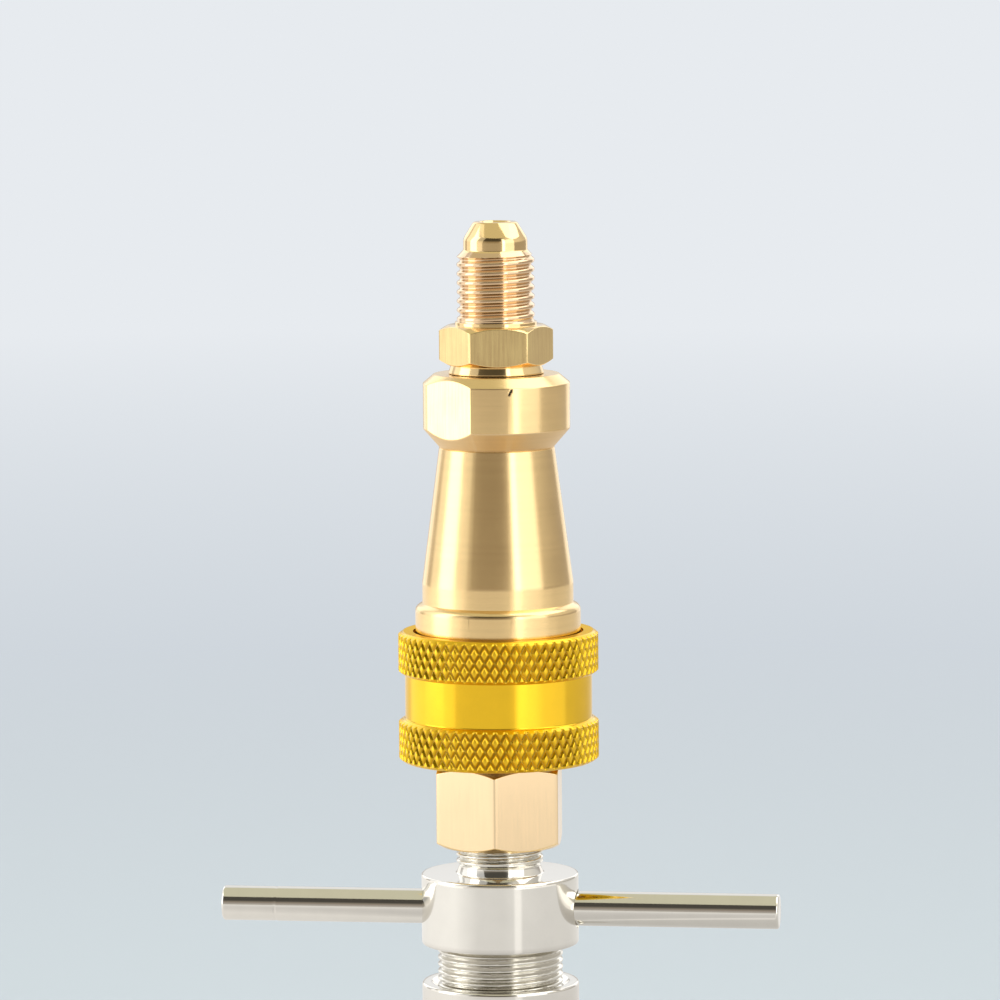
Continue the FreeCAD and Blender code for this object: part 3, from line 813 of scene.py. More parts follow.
def cutter_tree(name, floats, rule):
    """Geometry tree that turns a blank down to the radius given by a rule of turn and height."""
    tree = bpy.data.node_groups.new(name, "GeometryNodeTree")
    for label, kind in {"Geometry": "Geometry", **dict.fromkeys(floats, "Float"), "Material": "Material"}.items():
        tree.interface.new_socket(label, in_out="INPUT", socket_type=f"NodeSocket{kind}")
    tree.interface.new_socket("Geometry", in_out="OUTPUT", socket_type="NodeSocketGeometry")
    source = tree.nodes.new("NodeGroupInput").outputs
    given = {label: Number(tree, source[label]) for label in floats}
    x, y, z = axes(tree, tree.nodes.new("GeometryNodeInputPosition").outputs[0])
    radius = axis_radius(x, y)
    turn = y.maths("ARCTAN2", x) / (2 * math.pi)
    above = z.maths("GREATER_THAN", given["Low"])
    below = z.maths("LESS_THAN", given["High"])
    outside = radius.maths("GREATER_THAN", given["Major"] - given["Depth"] * CUT_REACH)
    chosen = above * below * outside
    cut = (radius - rule(given, turn, z)).maths("MAXIMUM", 0.0) * chosen
    share = cut * -1.0 / radius
    offset = tree.nodes.new("ShaderNodeCombineXYZ")
    feed(tree, offset.inputs["X"], x * share)
    feed(tree, offset.inputs["Y"], y * share)
    # The cut share noted here also masks the painted shade in the knurl's grooves
    before = tree.nodes.new("GeometryNodeInputNamedAttribute")
    before.inputs["Name"].default_value = CUT_NAME
    deepest = (cut / given["Depth"]).maths("MAXIMUM", before.outputs["Attribute"])
    geometry = source["Geometry"]
    for kind, inputs in (
            ("StoreNamedAttribute", {"Name": CUT_NAME, "Value": deepest}),
            ("SetPosition", {"Offset": offset.outputs[0]}),
            ("RealizeInstances", {}),
            ("SetMaterial", {"Selection": chosen, "Material": source["Material"]})):
        node = tree.nodes.new(f"GeometryNode{kind}")
        for label, value in {"Geometry": geometry, **inputs}.items():
            feed(tree, node.inputs[label], value)
        geometry = node.outputs[0]
    feed(tree, tree.nodes.new("NodeGroupOutput").inputs[0], geometry)
    return tree


def thread_rule(given, turn, height):
    """Right-hand thread with a flat crest and a rounded root, fading out at its lower end."""
    phase = height / given["Pitch"] - turn
    flank = (phase.maths("PINGPONG", 0.5) * 2.0).remap(0.0, THREAD_FLANK, smooth=True)
    fade = height.remap(given["Low"], given["Low"] + given["Runout"])
    return given["Major"] - given["Depth"] * fade * (1.0 - flank)


def knurl_rule(given, turn, height):
    """Two crossing sets of grooves that leave diamonds with slightly blunt points."""
    place = turn * given["Count"]
    climb = (height - given["Foot"]) / given["Row"] * 0.5
    first = (place + climb).maths("PINGPONG", 0.5)
    second = (place - climb).maths("PINGPONG", 0.5)
    blunt = (first.maths("MINIMUM", second) * 2.0).remap(*KNURL_CREST, smooth=True)
    return given["Major"] - given["Depth"] * (1.0 - blunt)


CUTTERS = {
    "thread_cutter": (("Low", "High", "Major", "Depth", "Pitch", "Runout"), thread_rule),
    "knurl_cutter": (("Low", "High", "Major", "Depth", "Count", "Row", "Foot"), knurl_rule),
}


def cut_by_tree(piece, name, finish_name, **values):
    """Runs a cutter tree on a piece and keeps the result as its mesh."""
    tree = bpy.data.node_groups.get(name) or cutter_tree(name, *CUTTERS[name])
    modifier = piece.modifiers.new(name, "NODES")
    modifier.node_group = tree
    values["material"] = finish(finish_name)
    for item in tree.interface.items_tree:
        label = item.name.lower()
        if item.in_out == "INPUT" and label in values:
            modifier[item.identifier] = values[label]
    settled(piece)


# Outlines of the pieces, up the outside and down the inside


def flare_adapter_outline(angle):
    nose_top = FLARE_TOP - FLARE_CONE
    thread_top = nose_top - FLARE_NOSE_LENGTH
    thread_foot = thread_top - FLARE_THREAD_LENGTH
    hex_top = thread_foot - WASHER_FACE_HEIGHT
    hex_foot = hex_top - ADAPTER_HEX_HEIGHT
    reach, face, drop = hex_section(ADAPTER_HEX, ADAPTER_HEX_TURN, angle)
    chamfer = FLARE_MAJOR - FLARE_NOSE
    rows = round(FLARE_THREAD_LENGTH / FLARE_ROW_PITCH * FLARE_ROWS)
    wide_top = ADAPTER_FOOT + ADAPTER_WIDE_DEPTH
    return [
        Corner(ADAPTER_WIDE_BORE, ADAPTER_FOOT),
        Corner(ADAPTER_SPIGOT, ADAPTER_FOOT),
        Corner(ADAPTER_SPIGOT, BODY_TOP - ADAPTER_NECK_HEIGHT),
        Corner(ADAPTER_NECK, BODY_TOP - ADAPTER_NECK_HEIGHT),
        Corner(ADAPTER_NECK, BODY_TOP + ADAPTER_SEAT),
        Corner(ADAPTER_FLANGE, BODY_TOP + ADAPTER_SEAT, ease=0.3),
        Corner(ADAPTER_FLANGE - ADAPTER_FLANGE_LEAN, hex_foot),
        Corner(face, hex_foot),
        Corner(reach, hex_foot + drop, finish=HEX_FINISH),
        Corner(reach, hex_top - drop),
        Corner(face, hex_top),
        Corner(WASHER_FACE, hex_top),
        Corner(WASHER_FACE, thread_foot),
        Corner(FLARE_MAJOR, thread_foot, SHARP, rows),
        Corner(FLARE_MAJOR, thread_top - chamfer, SHARP, FLARE_ROWS),
        Corner(FLARE_NOSE, thread_top),
        Corner(FLARE_NOSE, nose_top, ease=0.5),
        Corner(FLARE_RIM, FLARE_TOP, ease=0.3),
        Corner(FLARE_BORE + FLARE_MOUTH, FLARE_TOP),
        Corner(FLARE_BORE, FLARE_TOP - FLARE_MOUTH),
        Corner(FLARE_BORE, wide_top + ADAPTER_WIDE_BORE - FLARE_BORE),
        Corner(ADAPTER_WIDE_BORE, wide_top),
    ]


def flats_reach(angle):
    """Distance from the axis to a wrench flat, or to nothing in particular past its edges."""
    off = (math.degrees(angle) - FLATS_TURN + 90) % 180 - 90
    return FLATS / 2 / max(LEAST_COSINE, math.cos(math.radians(off)))


def nick_depth(angle, middle):
    """Small dent in the collar, deepest at its middle."""
    off = abs((math.degrees(angle) - middle + 180) % 360 - 180)
    return NICK_DEPTH * max(0.0, 1 - off / NICK_WIDTH)


def socket_body_angles():
    """Even angles, with more at the edges of the flats and at the dent."""
    degrees = [360 * index / SIDES for index in range(SIDES)]
    half = math.degrees(math.acos(FLATS / 2 / GRIP_RADIUS))
    for side in (0, 180):
        for edge in (-half, half):
            degrees += [FLATS_TURN + side + edge + EDGE_STEP * step for step in range(-2, 3)]
    degrees += [NICK_ANGLE + NICK_WIDTH * step / NICK_STEPS for step in range(-NICK_REACH, NICK_REACH + 1)]
    return [math.radians(value) for value in sorted({round(value % 360, 3) for value in degrees})]


def socket_body_outline(angle):
    step = SLEEVE_TOP + BODY_SHOWN
    shelf = SLEEVE_TOP - SHELF_DROP
    cuff_top = step + CUFF_HEIGHT
    neck = cuff_top + TAPER_LENGTH
    grip_foot = neck + GRIP_LOWER_BEVEL
    grip_top = grip_foot + GRIP_HEIGHT
    reach = min(GRIP_RADIUS, flats_reach(angle))
    low_share = (reach - NECK_RADIUS) / (GRIP_RADIUS - NECK_RADIUS)
    high_share = (reach - GRIP_TOP_RADIUS) / (GRIP_RADIUS - GRIP_TOP_RADIUS)
    bevel_foot = grip_top + GRIP_UPPER_BEVEL * (1 - high_share)
    nick = []
    for row in range(NICK_ROWS + 1):
        climb = row / NICK_ROWS
        dent = nick_depth(angle, NICK_ANGLE + NICK_SLANT * (2 * climb - 1)) if 0 < row < NICK_ROWS else 0.0
        nick.append(Corner(reach - dent, bevel_foot - NICK_HEIGHT * (NICK_DROP - climb), SHARP))
    socket_top = BODY_FOOT + SOCKET_DEPTH
    seat_foot = socket_top + SEAT_DEPTH
    return [
        Corner(SOCKET_BORE + SOCKET_LEAD, BODY_FOOT),
        Corner(NOSE_RADIUS, BODY_FOOT),
        Corner(NOSE_RADIUS, SNAP_FOOT),
        Corner(SNAP_GROOVE, SNAP_FOOT),
        Corner(SNAP_GROOVE, SNAP_TOP),
        Corner(NOSE_RADIUS, SNAP_TOP, rows=CAGE_ROWS),
        Corner(NOSE_RADIUS, shelf),
        Corner(BODY_RADIUS, shelf),
        Corner(BODY_RADIUS, step - BODY_SHOULDER_DROP, BODY_SHOULDER),
        Corner(CUFF_RADIUS, step, SHARP),
        Corner(CUFF_RADIUS, cuff_top, ease=0.25),
        Corner(NECK_RADIUS + NECK_EDGE, neck - NECK_EDGE_DROP, ease=0.3),
        # The bevel under the collar takes the neck finish, whose darker colour is painted shade
        Corner(NECK_RADIUS, neck, ease=0.1, finish=NECK_SHADE_FINISH),
        Corner(reach, neck + GRIP_LOWER_BEVEL * low_share, ease=0.14),
        *nick,
        Corner(reach, bevel_foot, ease=0.14),
        Corner(GRIP_TOP_RADIUS, BODY_TOP, ease=0.12),
        Corner(RING_POCKET, BODY_TOP),
        Corner(RING_POCKET, BODY_TOP - ADAPTER_NECK_HEIGHT),
        Corner(SPIGOT_BORE, BODY_TOP - ADAPTER_NECK_HEIGHT),
        Corner(SPIGOT_BORE, GUIDE_FOOT),
        Corner(CHAMBER_BORE, GUIDE_FOOT),
        Corner(CHAMBER_BORE, seat_foot + CHAMBER_BORE - SEAT_BORE),
        Corner(SEAT_BORE, seat_foot),
        Corner(SEAT_BORE, socket_top),
        Corner(SOCKET_BORE, socket_top, rows=CAGE_ROWS),
        Corner(SOCKET_BORE, BODY_FOOT + SOCKET_LEAD),
    ]


def lock_sleeve_outline(angle):
    low_top = SLEEVE_FOOT + KNURL_BAND
    high_foot = SLEEVE_TOP - KNURL_BAND
    rows = KNURL_STEPS * threads().knurl_rows
    return [
        Corner(SLEEVE_MOUTH + SLEEVE_CHAMFER, SLEEVE_FOOT),
        Corner(SLEEVE_EDGE_RADIUS, SLEEVE_FOOT, rows=KNURL_STEPS),
        Corner(SLEEVE_RADIUS, SLEEVE_FOOT + KNURL_BEVEL, SHARP, rows),
        Corner(SLEEVE_RADIUS, low_top - KNURL_BEVEL, SHARP, KNURL_STEPS),
        Corner(SLEEVE_EDGE_RADIUS, low_top, SHARP),
        Corner(SLEEVE_WAIST, low_top, ease=0.2),
        Corner(SLEEVE_WAIST, high_foot, ease=0.05),
        Corner(SLEEVE_EDGE_RADIUS, high_foot, ease=0.05, rows=KNURL_STEPS),
        Corner(SLEEVE_RADIUS, high_foot + KNURL_BEVEL, SHARP, rows),
        Corner(SLEEVE_RADIUS, SLEEVE_TOP - KNURL_BEVEL, SHARP, KNURL_STEPS),
        Corner(SLEEVE_EDGE_RADIUS, SLEEVE_TOP, finish=RIM_FINISH),
        Corner(SLEEVE_BORE + SLEEVE_SLOT, SLEEVE_TOP),
        Corner(SLEEVE_BORE + SLEEVE_SLOT, SLEEVE_TOP - SLEEVE_SLOT_DEPTH, SHARP),
        Corner(SLEEVE_BORE, SLEEVE_TOP - SLEEVE_SLOT_DEPTH - SLEEVE_SLOT, SHARP),
        Corner(SLEEVE_BORE, SLEEVE_FOOT + LAND_TOP, SHARP),
        Corner(SLEEVE_LAND, SLEEVE_FOOT + LAND_TOP, SHARP),
        Corner(SLEEVE_LAND, SLEEVE_FOOT + LAND_FOOT, SHARP),
        Corner(SLEEVE_MOUTH, SLEEVE_FOOT + LAND_FOOT, SHARP),
        Corner(SLEEVE_MOUTH, SLEEVE_FOOT + SLEEVE_CHAMFER),
    ]


def plug_nipple_outline(angle):
    hex_top = PLUG_FOOT + PLUG_HEX_HEIGHT
    reach, face, drop = hex_section(PLUG_HEX, PLUG_HEX_TURN, angle)
    half = math.sqrt(BALL_GROOVE ** 2 - (BALL_CIRCLE - PLUG_RADIUS) ** 2)
    groove = []
    for step in range(GROOVE_STEPS + 1):
        height = BALL_HEIGHT - half + 2 * half * step / GROOVE_STEPS
        depth = math.sqrt(max(0.0, BALL_GROOVE ** 2 - (height - BALL_HEIGHT) ** 2))
        groove.append(Corner(BALL_CIRCLE - depth, height, SHARP))
    return [
        Corner(PLUG_SOCKET + STEM_LEAD, PLUG_FOOT),
        Corner(face, PLUG_FOOT),
        Corner(reach, PLUG_FOOT + drop, ease=0.12, finish=HEX_FINISH),
        Corner(reach, hex_top - drop, ease=0.12),
        Corner(face, hex_top),
        Corner(PLUG_RADIUS, hex_top),
        *groove,
        Corner(PLUG_RADIUS, PLUG_TIP - 2 * PLUG_LEAD),
        Corner(PLUG_RADIUS - PLUG_LEAD, PLUG_TIP),
        Corner(GAS_BORE, PLUG_TIP),
        Corner(GAS_BORE, PLUG_FOOT + PLUG_SOCKET_DEPTH),
        Corner(PLUG_SOCKET, PLUG_FOOT + PLUG_SOCKET_DEPTH),
        Corner(PLUG_SOCKET, PLUG_FOOT + STEM_LEAD),
    ]


def tee_screw_outline(angle):
    tee_top = TEE_FOOT + TEE_HEIGHT
    relief_radius = SCREW_MAJOR - TEE_UNDERCUT
    thread_rows = round((TEE_FOOT - SCREW_PILOT_TOP) * SCREW_ROWS)
    stem_rows = round((STEM_TOP - tee_top) * STEM_ROWS)
    return [
        Corner(SCREW_BORE, SCREW_FOOT),
        Corner(SCREW_PILOT, SCREW_FOOT),
        Corner(SCREW_PILOT, SCREW_PILOT_TOP),
        Corner(SCREW_MAJOR, SCREW_PILOT_TOP + SCREW_MAJOR - SCREW_PILOT, SHARP, thread_rows),
        Corner(SCREW_MAJOR, TEE_FOOT - TEE_UNDERCUT, SHARP),
        Corner(relief_radius, TEE_FOOT - TEE_UNDERCUT / 2, ease=0.1),
        Corner(relief_radius, TEE_FOOT),
        Corner(TEE_RADIUS, TEE_FOOT, TEE_EDGE),
        Corner(TEE_RADIUS, TEE_FOOT + TEE_EDGE, SHARP, TEE_ROWS),
        Corner(TEE_RADIUS, tee_top - TEE_EDGE, SHARP),
        Corner(TEE_RADIUS, tee_top, TEE_EDGE),
        Corner(STEM_MAJOR, tee_top, ease=0.2),
        Corner(STEM_MAJOR - STEM_NECK, tee_top + STEM_NECK_HEIGHT, ease=0.3),
        Corner(STEM_MAJOR, tee_top + STEM_NECK_HEIGHT + STEM_NECK, SHARP, stem_rows),
        Corner(STEM_MAJOR, STEM_TOP - STEM_LEAD, SHARP),
        Corner(STEM_MAJOR - STEM_LEAD, STEM_TOP),
        Corner(GAS_BORE, STEM_TOP),
        Corner(GAS_BORE, TEE_FOOT),
        Corner(SCREW_BORE, TEE_FOOT - SCREW_BORE + GAS_BORE),
    ]


def handle_outline(mark):
    """Rod along the axis, from its pressed end to its rounded tip; mark is the depth of a worn ring."""
    length = HANDLE_REACH - HANDLE_ROOT
    ring = length - HANDLE_MARK

    def outline(angle):
        mean, wave = HANDLE_MARK_WAVE
        worn = mark * (mean + wave * math.sin(2 * angle))
        return [
            Corner(0.0, 0.0, SHARP),
            Corner(HANDLE_RADIUS, 0.0),
            Corner(HANDLE_RADIUS, ring - HANDLE_MARK_START, SHARP),
            Corner(HANDLE_RADIUS - worn, ring, ease=0.1),
            Corner(HANDLE_RADIUS - worn * HANDLE_MARK_END_SHARE, ring + HANDLE_MARK_END, ease=0.1),
            Corner(HANDLE_RADIUS, length, HANDLE_EDGE),
            Corner(0.0, length, SHARP),
        ]
    return outline


def clamp_barrel_outline(angle):
    return [
        Corner(TUBE_BORE + TUBE_LEAD, 0.0),
        Corner(BARREL_RADIUS, 0.0, BARREL_EDGE),
        Corner(BARREL_RADIUS, BARREL_TOP, BARREL_EDGE),
        Corner(BARREL_MOUTH, BARREL_TOP),
        Corner(BARREL_THREAD, BARREL_TOP - BARREL_MOUTH_CHAMFER),
        Corner(BARREL_THREAD, BARREL_CHAMBER_TOP),
        Corner(BARREL_CHAMBER, BARREL_CHAMBER_TOP),
        Corner(BARREL_CHAMBER, BARREL_FLOOR),
        Corner(TUBE_BORE, BARREL_FLOOR),
        Corner(TUBE_BORE, TUBE_LEAD),
    ]


def round_cutter(name, radii, lengths, matrix, finish_name):
    """Closed drill body with a radius at each length along its own axis, put in place by a matrix."""
    def outline(angle):
        ends = [Corner(0.0, lengths[0], SHARP)]
        ends += [Corner(radius, length, SHARP) for radius, length in zip(radii, lengths)]
        return ends + [Corner(0.0, lengths[-1], SHARP)]
    mesh = turned_mesh(name, outline, even_angles(DRILL_SIDES), [finish_name], closed=False)
    mesh.transform(matrix)
    return mesh


def outward(angle, height):
    """Matrix that lays the axis of a turned mesh along a radius."""
    lift = Matrix.Translation((0, 0, height * MM))
    return lift @ Matrix.Rotation(angle, 4, "Z") @ Matrix.Rotation(math.pi / 2, 4, "Y")


class COUPLER_OT_flare_adapter(bpy.types.Operator):
    """Turn the flare adapter and cut its thread"""

    bl_idname = "coupler.flare_adapter"
    bl_label = "Flare adapter"

    def execute(self, context):
        piece = turned_piece(
            "flare_adapter", flare_adapter_outline, hex_angles(ADAPTER_HEX_TURN), ["bright_brass", "drawn_brass"])
        top = FLARE_TOP - FLARE_CONE - FLARE_NOSE_LENGTH
        cut_by_tree(
            piece, "thread_cutter", "threaded_brass",
            low=(top - FLARE_THREAD_LENGTH) * MM, high=top * MM, major=FLARE_MAJOR * MM,
            depth=threads().flare_depth, pitch=threads().flare_pitch, runout=FLARE_RUNOUT * MM)
        finished(piece, "coupler", "flare_adapter")
        return {"FINISHED"}


class COUPLER_OT_socket_body(bpy.types.Operator):
    """Turn the socket body, mill its flats and drill its ball holes"""

    bl_idname = "coupler.socket_body"
    bl_label = "Socket body"

    def execute(self, context):
        piece = turned_piece(
            "socket_body", socket_body_outline, socket_body_angles(),
            ["turned_brass", "drawn_brass", "nick_brass", "neck_brass"])
        self.mark_flats(piece.data)
        self.mark_nick_shade(piece.data)
        drills = []
        for index in range(BALL_COUNT):
            matrix = outward(2 * math.pi * index / BALL_COUNT, BALL_HEIGHT)
            span = (SOCKET_BORE - DRILL_PAST, NOSE_RADIUS + DRILL_PAST)
            drills.append(round_cutter("ball_drill", (BALL_HOLE, BALL_HOLE), span, matrix, "turned_brass"))
        drilled(piece, drills)
        finished(piece, "coupler", "socket_body")
        return {"FINISHED"}

    def mark_flats(self, mesh):
        """Gives the two milled flats their own finish."""
        normal = level(math.radians(FLATS_TURN))
        for face in mesh.polygons:
            on_plane = abs(abs(face.center.dot(normal)) - FLATS / 2 * MM) < FLATS_MISS * MM
            if on_plane and abs(face.normal.dot(normal)) > FLATS_FACING:
                face.material_index = FLAT_FINISH

    def mark_nick_shade(self, mesh):
        """Paints shade into the bottom of the small dent in the collar with a dark matt finish."""
        top = BODY_TOP - GRIP_UPPER_BEVEL
        normal = level(math.radians(NICK_ANGLE))
        for face in mesh.polygons:
            height = face.center.z / MM
            radius = face.center.xy.length / MM
            in_collar = top - NICK_DROP * NICK_HEIGHT < height < top
            facing = face.center.dot(normal) > NICK_FACING * radius * MM
            if in_collar and facing and GRIP_RADIUS - NICK_DEPTH < radius < GRIP_RADIUS - NICK_DEPTH / NICK_SHALLOW:
                face.material_index = NICK_SHADE_FINISH


class COUPLER_OT_lock_sleeve(bpy.types.Operator):
    """Turn the lock sleeve and knurl its two bands"""

    bl_idname = "coupler.lock_sleeve"
    bl_label = "Lock sleeve"

    def execute(self, context):
        count = threads().knurl_count
        angles = even_angles(2 * KNURL_STEPS * count)
        piece = turned_piece("lock_sleeve", lock_sleeve_outline, angles, ["gold_dye", "gold_rim"])
        row = (KNURL_BAND - 2 * KNURL_BEVEL) / threads().knurl_rows
        for foot in (SLEEVE_FOOT, SLEEVE_TOP - KNURL_BAND):
            cut_by_tree(
                piece, "knurl_cutter", "gold_knurl",
                low=foot * MM, high=(foot + KNURL_BAND) * MM, major=SLEEVE_RADIUS * MM,
                depth=threads().knurl_depth, count=float(count), row=row * MM, foot=(foot + KNURL_BEVEL) * MM)
        finished(piece, "lock_sleeve", "lock_sleeve")
        return {"FINISHED"}


class COUPLER_OT_plug_nipple(bpy.types.Operator):
    """Turn the plug nipple from hexagonal bar"""

    bl_idname = "coupler.plug_nipple"
    bl_label = "Plug nipple"

    def execute(self, context):
        piece = turned_piece(
            "plug_nipple", plug_nipple_outline, hex_angles(PLUG_HEX_TURN), ["turned_brass", "pale_brass"])
        finished(piece, "tee_screw", "plug_nipple")
        return {"FINISHED"}


class COUPLER_OT_tee_screw(bpy.types.Operator):
    """Turn the tee screw, drill the handles' sockets and cut both threads"""

    bl_idname = "coupler.tee_screw"
    bl_label = "Tee screw"

    def execute(self, context):
        piece = turned_piece("tee_screw", tee_screw_outline, even_angles(), ["nickel_bright"])
        mouth = HANDLE_SOCKET + HANDLE_SOCKET_EDGE
        radii = (HANDLE_SOCKET, HANDLE_SOCKET, mouth, mouth)
        face = TEE_RADIUS - HANDLE_SOCKET ** 2 / (2 * TEE_RADIUS)
        lengths = (HANDLE_ROOT - DRILL_SEAT, face - HANDLE_SOCKET_EDGE, face + DRILL_SEAT, TEE_RADIUS + DRILL_PAST)
        drills = [
            round_cutter("handle_drill", radii, lengths, outward(turn, HANDLE_HEIGHT), "nickel_bright")
            for turn in (0, math.pi)]
        drilled(piece, drills)
        tee_top = TEE_FOOT + TEE_HEIGHT
        cut_by_tree(
            piece, "thread_cutter", "nickel_thread",
            low=SCREW_PILOT_TOP * MM, high=(TEE_FOOT - TEE_UNDERCUT / 2) * MM, major=SCREW_MAJOR * MM,
            depth=threads().fine_depth, pitch=threads().screw_pitch, runout=SCREW_RUNOUT * MM)
        cut_by_tree(
            piece, "thread_cutter", "nickel_thread",
            low=(tee_top + STEM_NECK_HEIGHT + STEM_NECK) * MM, high=STEM_TOP * MM, major=STEM_MAJOR * MM,
            depth=threads().fine_depth, pitch=threads().stem_pitch, runout=STEM_RUNOUT * MM)
        finished(piece, "tee_screw", "tee_screw")
        return {"FINISHED"}


class COUPLER_OT_handles(bpy.types.Operator):
    """Turn the two handle rods"""

    bl_idname = "coupler.handles"
    bl_label = "Handles"

    def execute(self, context):
        for node, turn, mark in (("handle_left", math.pi, HANDLE_MARK_DEPTH), ("handle_right", 0, 0.0)):
            piece = turned_piece(
                node, handle_outline(mark), even_angles(HANDLE_SIDES), ["nickel_bright"], closed=False)
            root = Matrix.Translation((0, 0, HANDLE_ROOT * MM))
            piece.data.transform(outward(turn, HANDLE_HEIGHT) @ root)
            finished(piece, "tee_screw", node)
        return {"FINISHED"}


class COUPLER_OT_clamp_barrel(bpy.types.Operator):
    """Turn the clamp barrel"""

    bl_idname = "coupler.clamp_barrel"
    bl_label = "Clamp barrel"

    def execute(self, context):
        piece = turned_piece("clamp_barrel", clamp_barrel_outline, even_angles(), ["nickel_bright"])
        finished(piece, "clamp_barrel", "clamp_barrel")
        return {"FINISHED"}


INNER_FINISHES = {
    "turned_brass": ("poppet_valve", "valve_guide", "seal_follower"),
    "steel_bright": ("locking_balls", "snap_ring"),
    "rubber_black": ("adapter_o_ring", "socket_o_ring", "poppet_seal"),
    "polymer_white": ("stem_gasket",),
}


class COUPLER_OT_inner_pieces(bpy.types.Operator):
    """Give the inner pieces their finishes"""

    bl_idname = "coupler.inner_pieces"
    bl_label = "Inner pieces"

    def execute(self, context):
        for name, nodes in INNER_FINISHES.items():
            for node in nodes:
                mesh = frame["nodes"][node].data
                mesh.materials.clear()
                mesh.materials.append(finish(name))
        return {"FINISHED"}


# Inner pieces copied from the imported nodes

SPRING_JOINTS = {"sleeve_spring": "sleeve_slide", "poppet_spring": "poppet_slide"}


def packed_joint(name):
    return next(joint for joint in frame["record"]["behaviour"]["joints"] if joint["name"] == name)


def fixed_end(joint):
    """Height, in metres, of the end that stays where it is as the joint moves."""
    return joint["deforming_nodes"][0]["fixed_end_z_m"]


def node_copy(node, finish_name):
    """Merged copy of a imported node's mesh, as a piece of its own."""
    name = f"{node}_dressed"
    mesh = bpy.data.meshes.new(name)
    merge(frame["nodes"][node].data, mesh)
    mesh.materials.append(finish(finish_name))
    return place_object(name, mesh)


class COUPLER_OT_springs(bpy.types.Operator):
    """Make shaded copies of the sleeve and poppet springs, carried with the coupler"""

    bl_idname = "coupler.springs"
    bl_label = "Springs"

    def execute(self, context):
        for node, name in SPRING_JOINTS.items():
            joint = packed_joint(name)
            length = fixed_end(joint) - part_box(node)[0].z
            piece = finished(node_copy(node, "steel_bright"), "coupler", node)
            1 - joint["range_m"][1] / length
            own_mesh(piece)
        return {"FINISHED"}


class COUPLER_OT_tube_seal(bpy.types.Operator):
    """Make a shaded copy of the tube seal in place of its node"""

    bl_idname = "coupler.tube_seal"
    bl_label = "Tube seal"

    def execute(self, context):
        piece = shaded(node_copy("tube_seal", "rubber_black"))
        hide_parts("tube_seal")
        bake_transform(piece)
        return {"FINISHED"}


# Stage


def panel_lamp(name, bearing, distance, height, size, glow, mirrored):
    """Soft panel at a bearing to the right of the camera, turned to the object."""
    lamp = bpy.data.lights.new(name, "AREA")
    lamp.shape = "RECTANGLE"
    lamp.size, lamp.size_y = size
    lamp.energy = glow * math.pi * size[0] * size[1]
    holder = place_object(name, lamp)
    holder.location = level(stage_setup().camera_turn + math.radians(bearing) - math.pi / 2, distance, height)
    aim = Vector((0, 0, min(height, PANEL_AIM))) - holder.location
    holder.rotation_euler = aim.to_track_quat("-Z", "Y").to_euler()
    holder.visible_camera = False
    holder.visible_glossy = mirrored


def ramp(tree, value, stops):
    """Colour ramp over a number from 0 to 1."""
    node = tree.nodes.new("ShaderNodeValToRGB")
    feed(tree, node.inputs[0], value)
    elements = node.color_ramp.elements
    while len(elements) < len(stops):
        elements.new(1.0)
    for element, (place, colour) in zip(elements, stops):
        element.position = place
        element.color = (*colour, 1)
    return node.outputs[0]


def backdrop_material():
    """Pale sheet to the eye; to the metal a room with a light floor and a dark wall on the camera's side."""
    material = bare_material("pale_backdrop")
    tree = material.node_tree
    x, y, z = axes(tree, tree.nodes.new("ShaderNodeTexCoord").outputs["Object"])
    out = axis_radius(x, y)
    pale = colour_mix(tree, (out + z).remap(*PALE_DEPTH), (*colours().floor, 1), (*colours().backdrop, 1))
    bearing = x.maths("ARCTAN2", y * -1.0) - stage_setup().camera_turn
    round_room = bearing.remap(-math.pi, math.pi)
    band = out.remap(*ROOM_BAND_START) * out.remap(*ROOM_BAND_END, 1.0, 0.0)
    shares = [
        ramp(tree, round_room, [(place, (tone, tone, tone)) for place, tone in stops])
        for stops in (ROOM_SHARE, ROOM_BAND_SHARE)]
    floor = ramp(tree, out.remap(0.0, FLOOR_RADIUS), ROOM_FLOOR)
    floor = colour_mix(tree, 1.0, floor, colour_mix(tree, band, *shares), "MULTIPLY")
    aside = (bearing - ROOM_UPPER_BEARING).maths("ABSOLUTE")
    upper = z.remap(*ROOM_UPPER) * aside.remap(*ROOM_UPPER_REACH, ROOM_UPPER_SHARE, 0.0)
    wall = colour_mix(tree, upper, ramp(tree, round_room, ROOM_WALL), ROOM_UPPER_TONE)
    room = colour_mix(tree, z.remap(*ROOM_SKIRTING, smooth=True), floor, wall)
    path = tree.nodes.new("ShaderNodeLightPath").outputs
    mirrored = path["Is Glossy Ray"]
    looked_at = Number(tree, path["Is Camera Ray"]).maths("MAXIMUM", path["Is Transmission Ray"])
    glowing = (looked_at * out.remap(*EVEN_REACH, *EVEN_SHARE)).maths("MAXIMUM", mirrored)
    diffuse = tree.nodes.new("ShaderNodeBsdfDiffuse")
    feed(tree, diffuse.inputs["Color"], pale)
    glow = tree.nodes.new("ShaderNodeEmission")
    feed(tree, glow.inputs["Color"], colour_mix(tree, mirrored, pale, room))
    blend = tree.nodes.new("ShaderNodeMixShader")
    for socket, value in zip(blend.inputs, (glowing, diffuse.outputs[0], glow.outputs[0])):
        feed(tree, socket, value)
    feed(tree, tree.nodes.new("ShaderNodeOutputMaterial").inputs[0], blend.outputs[0])
    return material


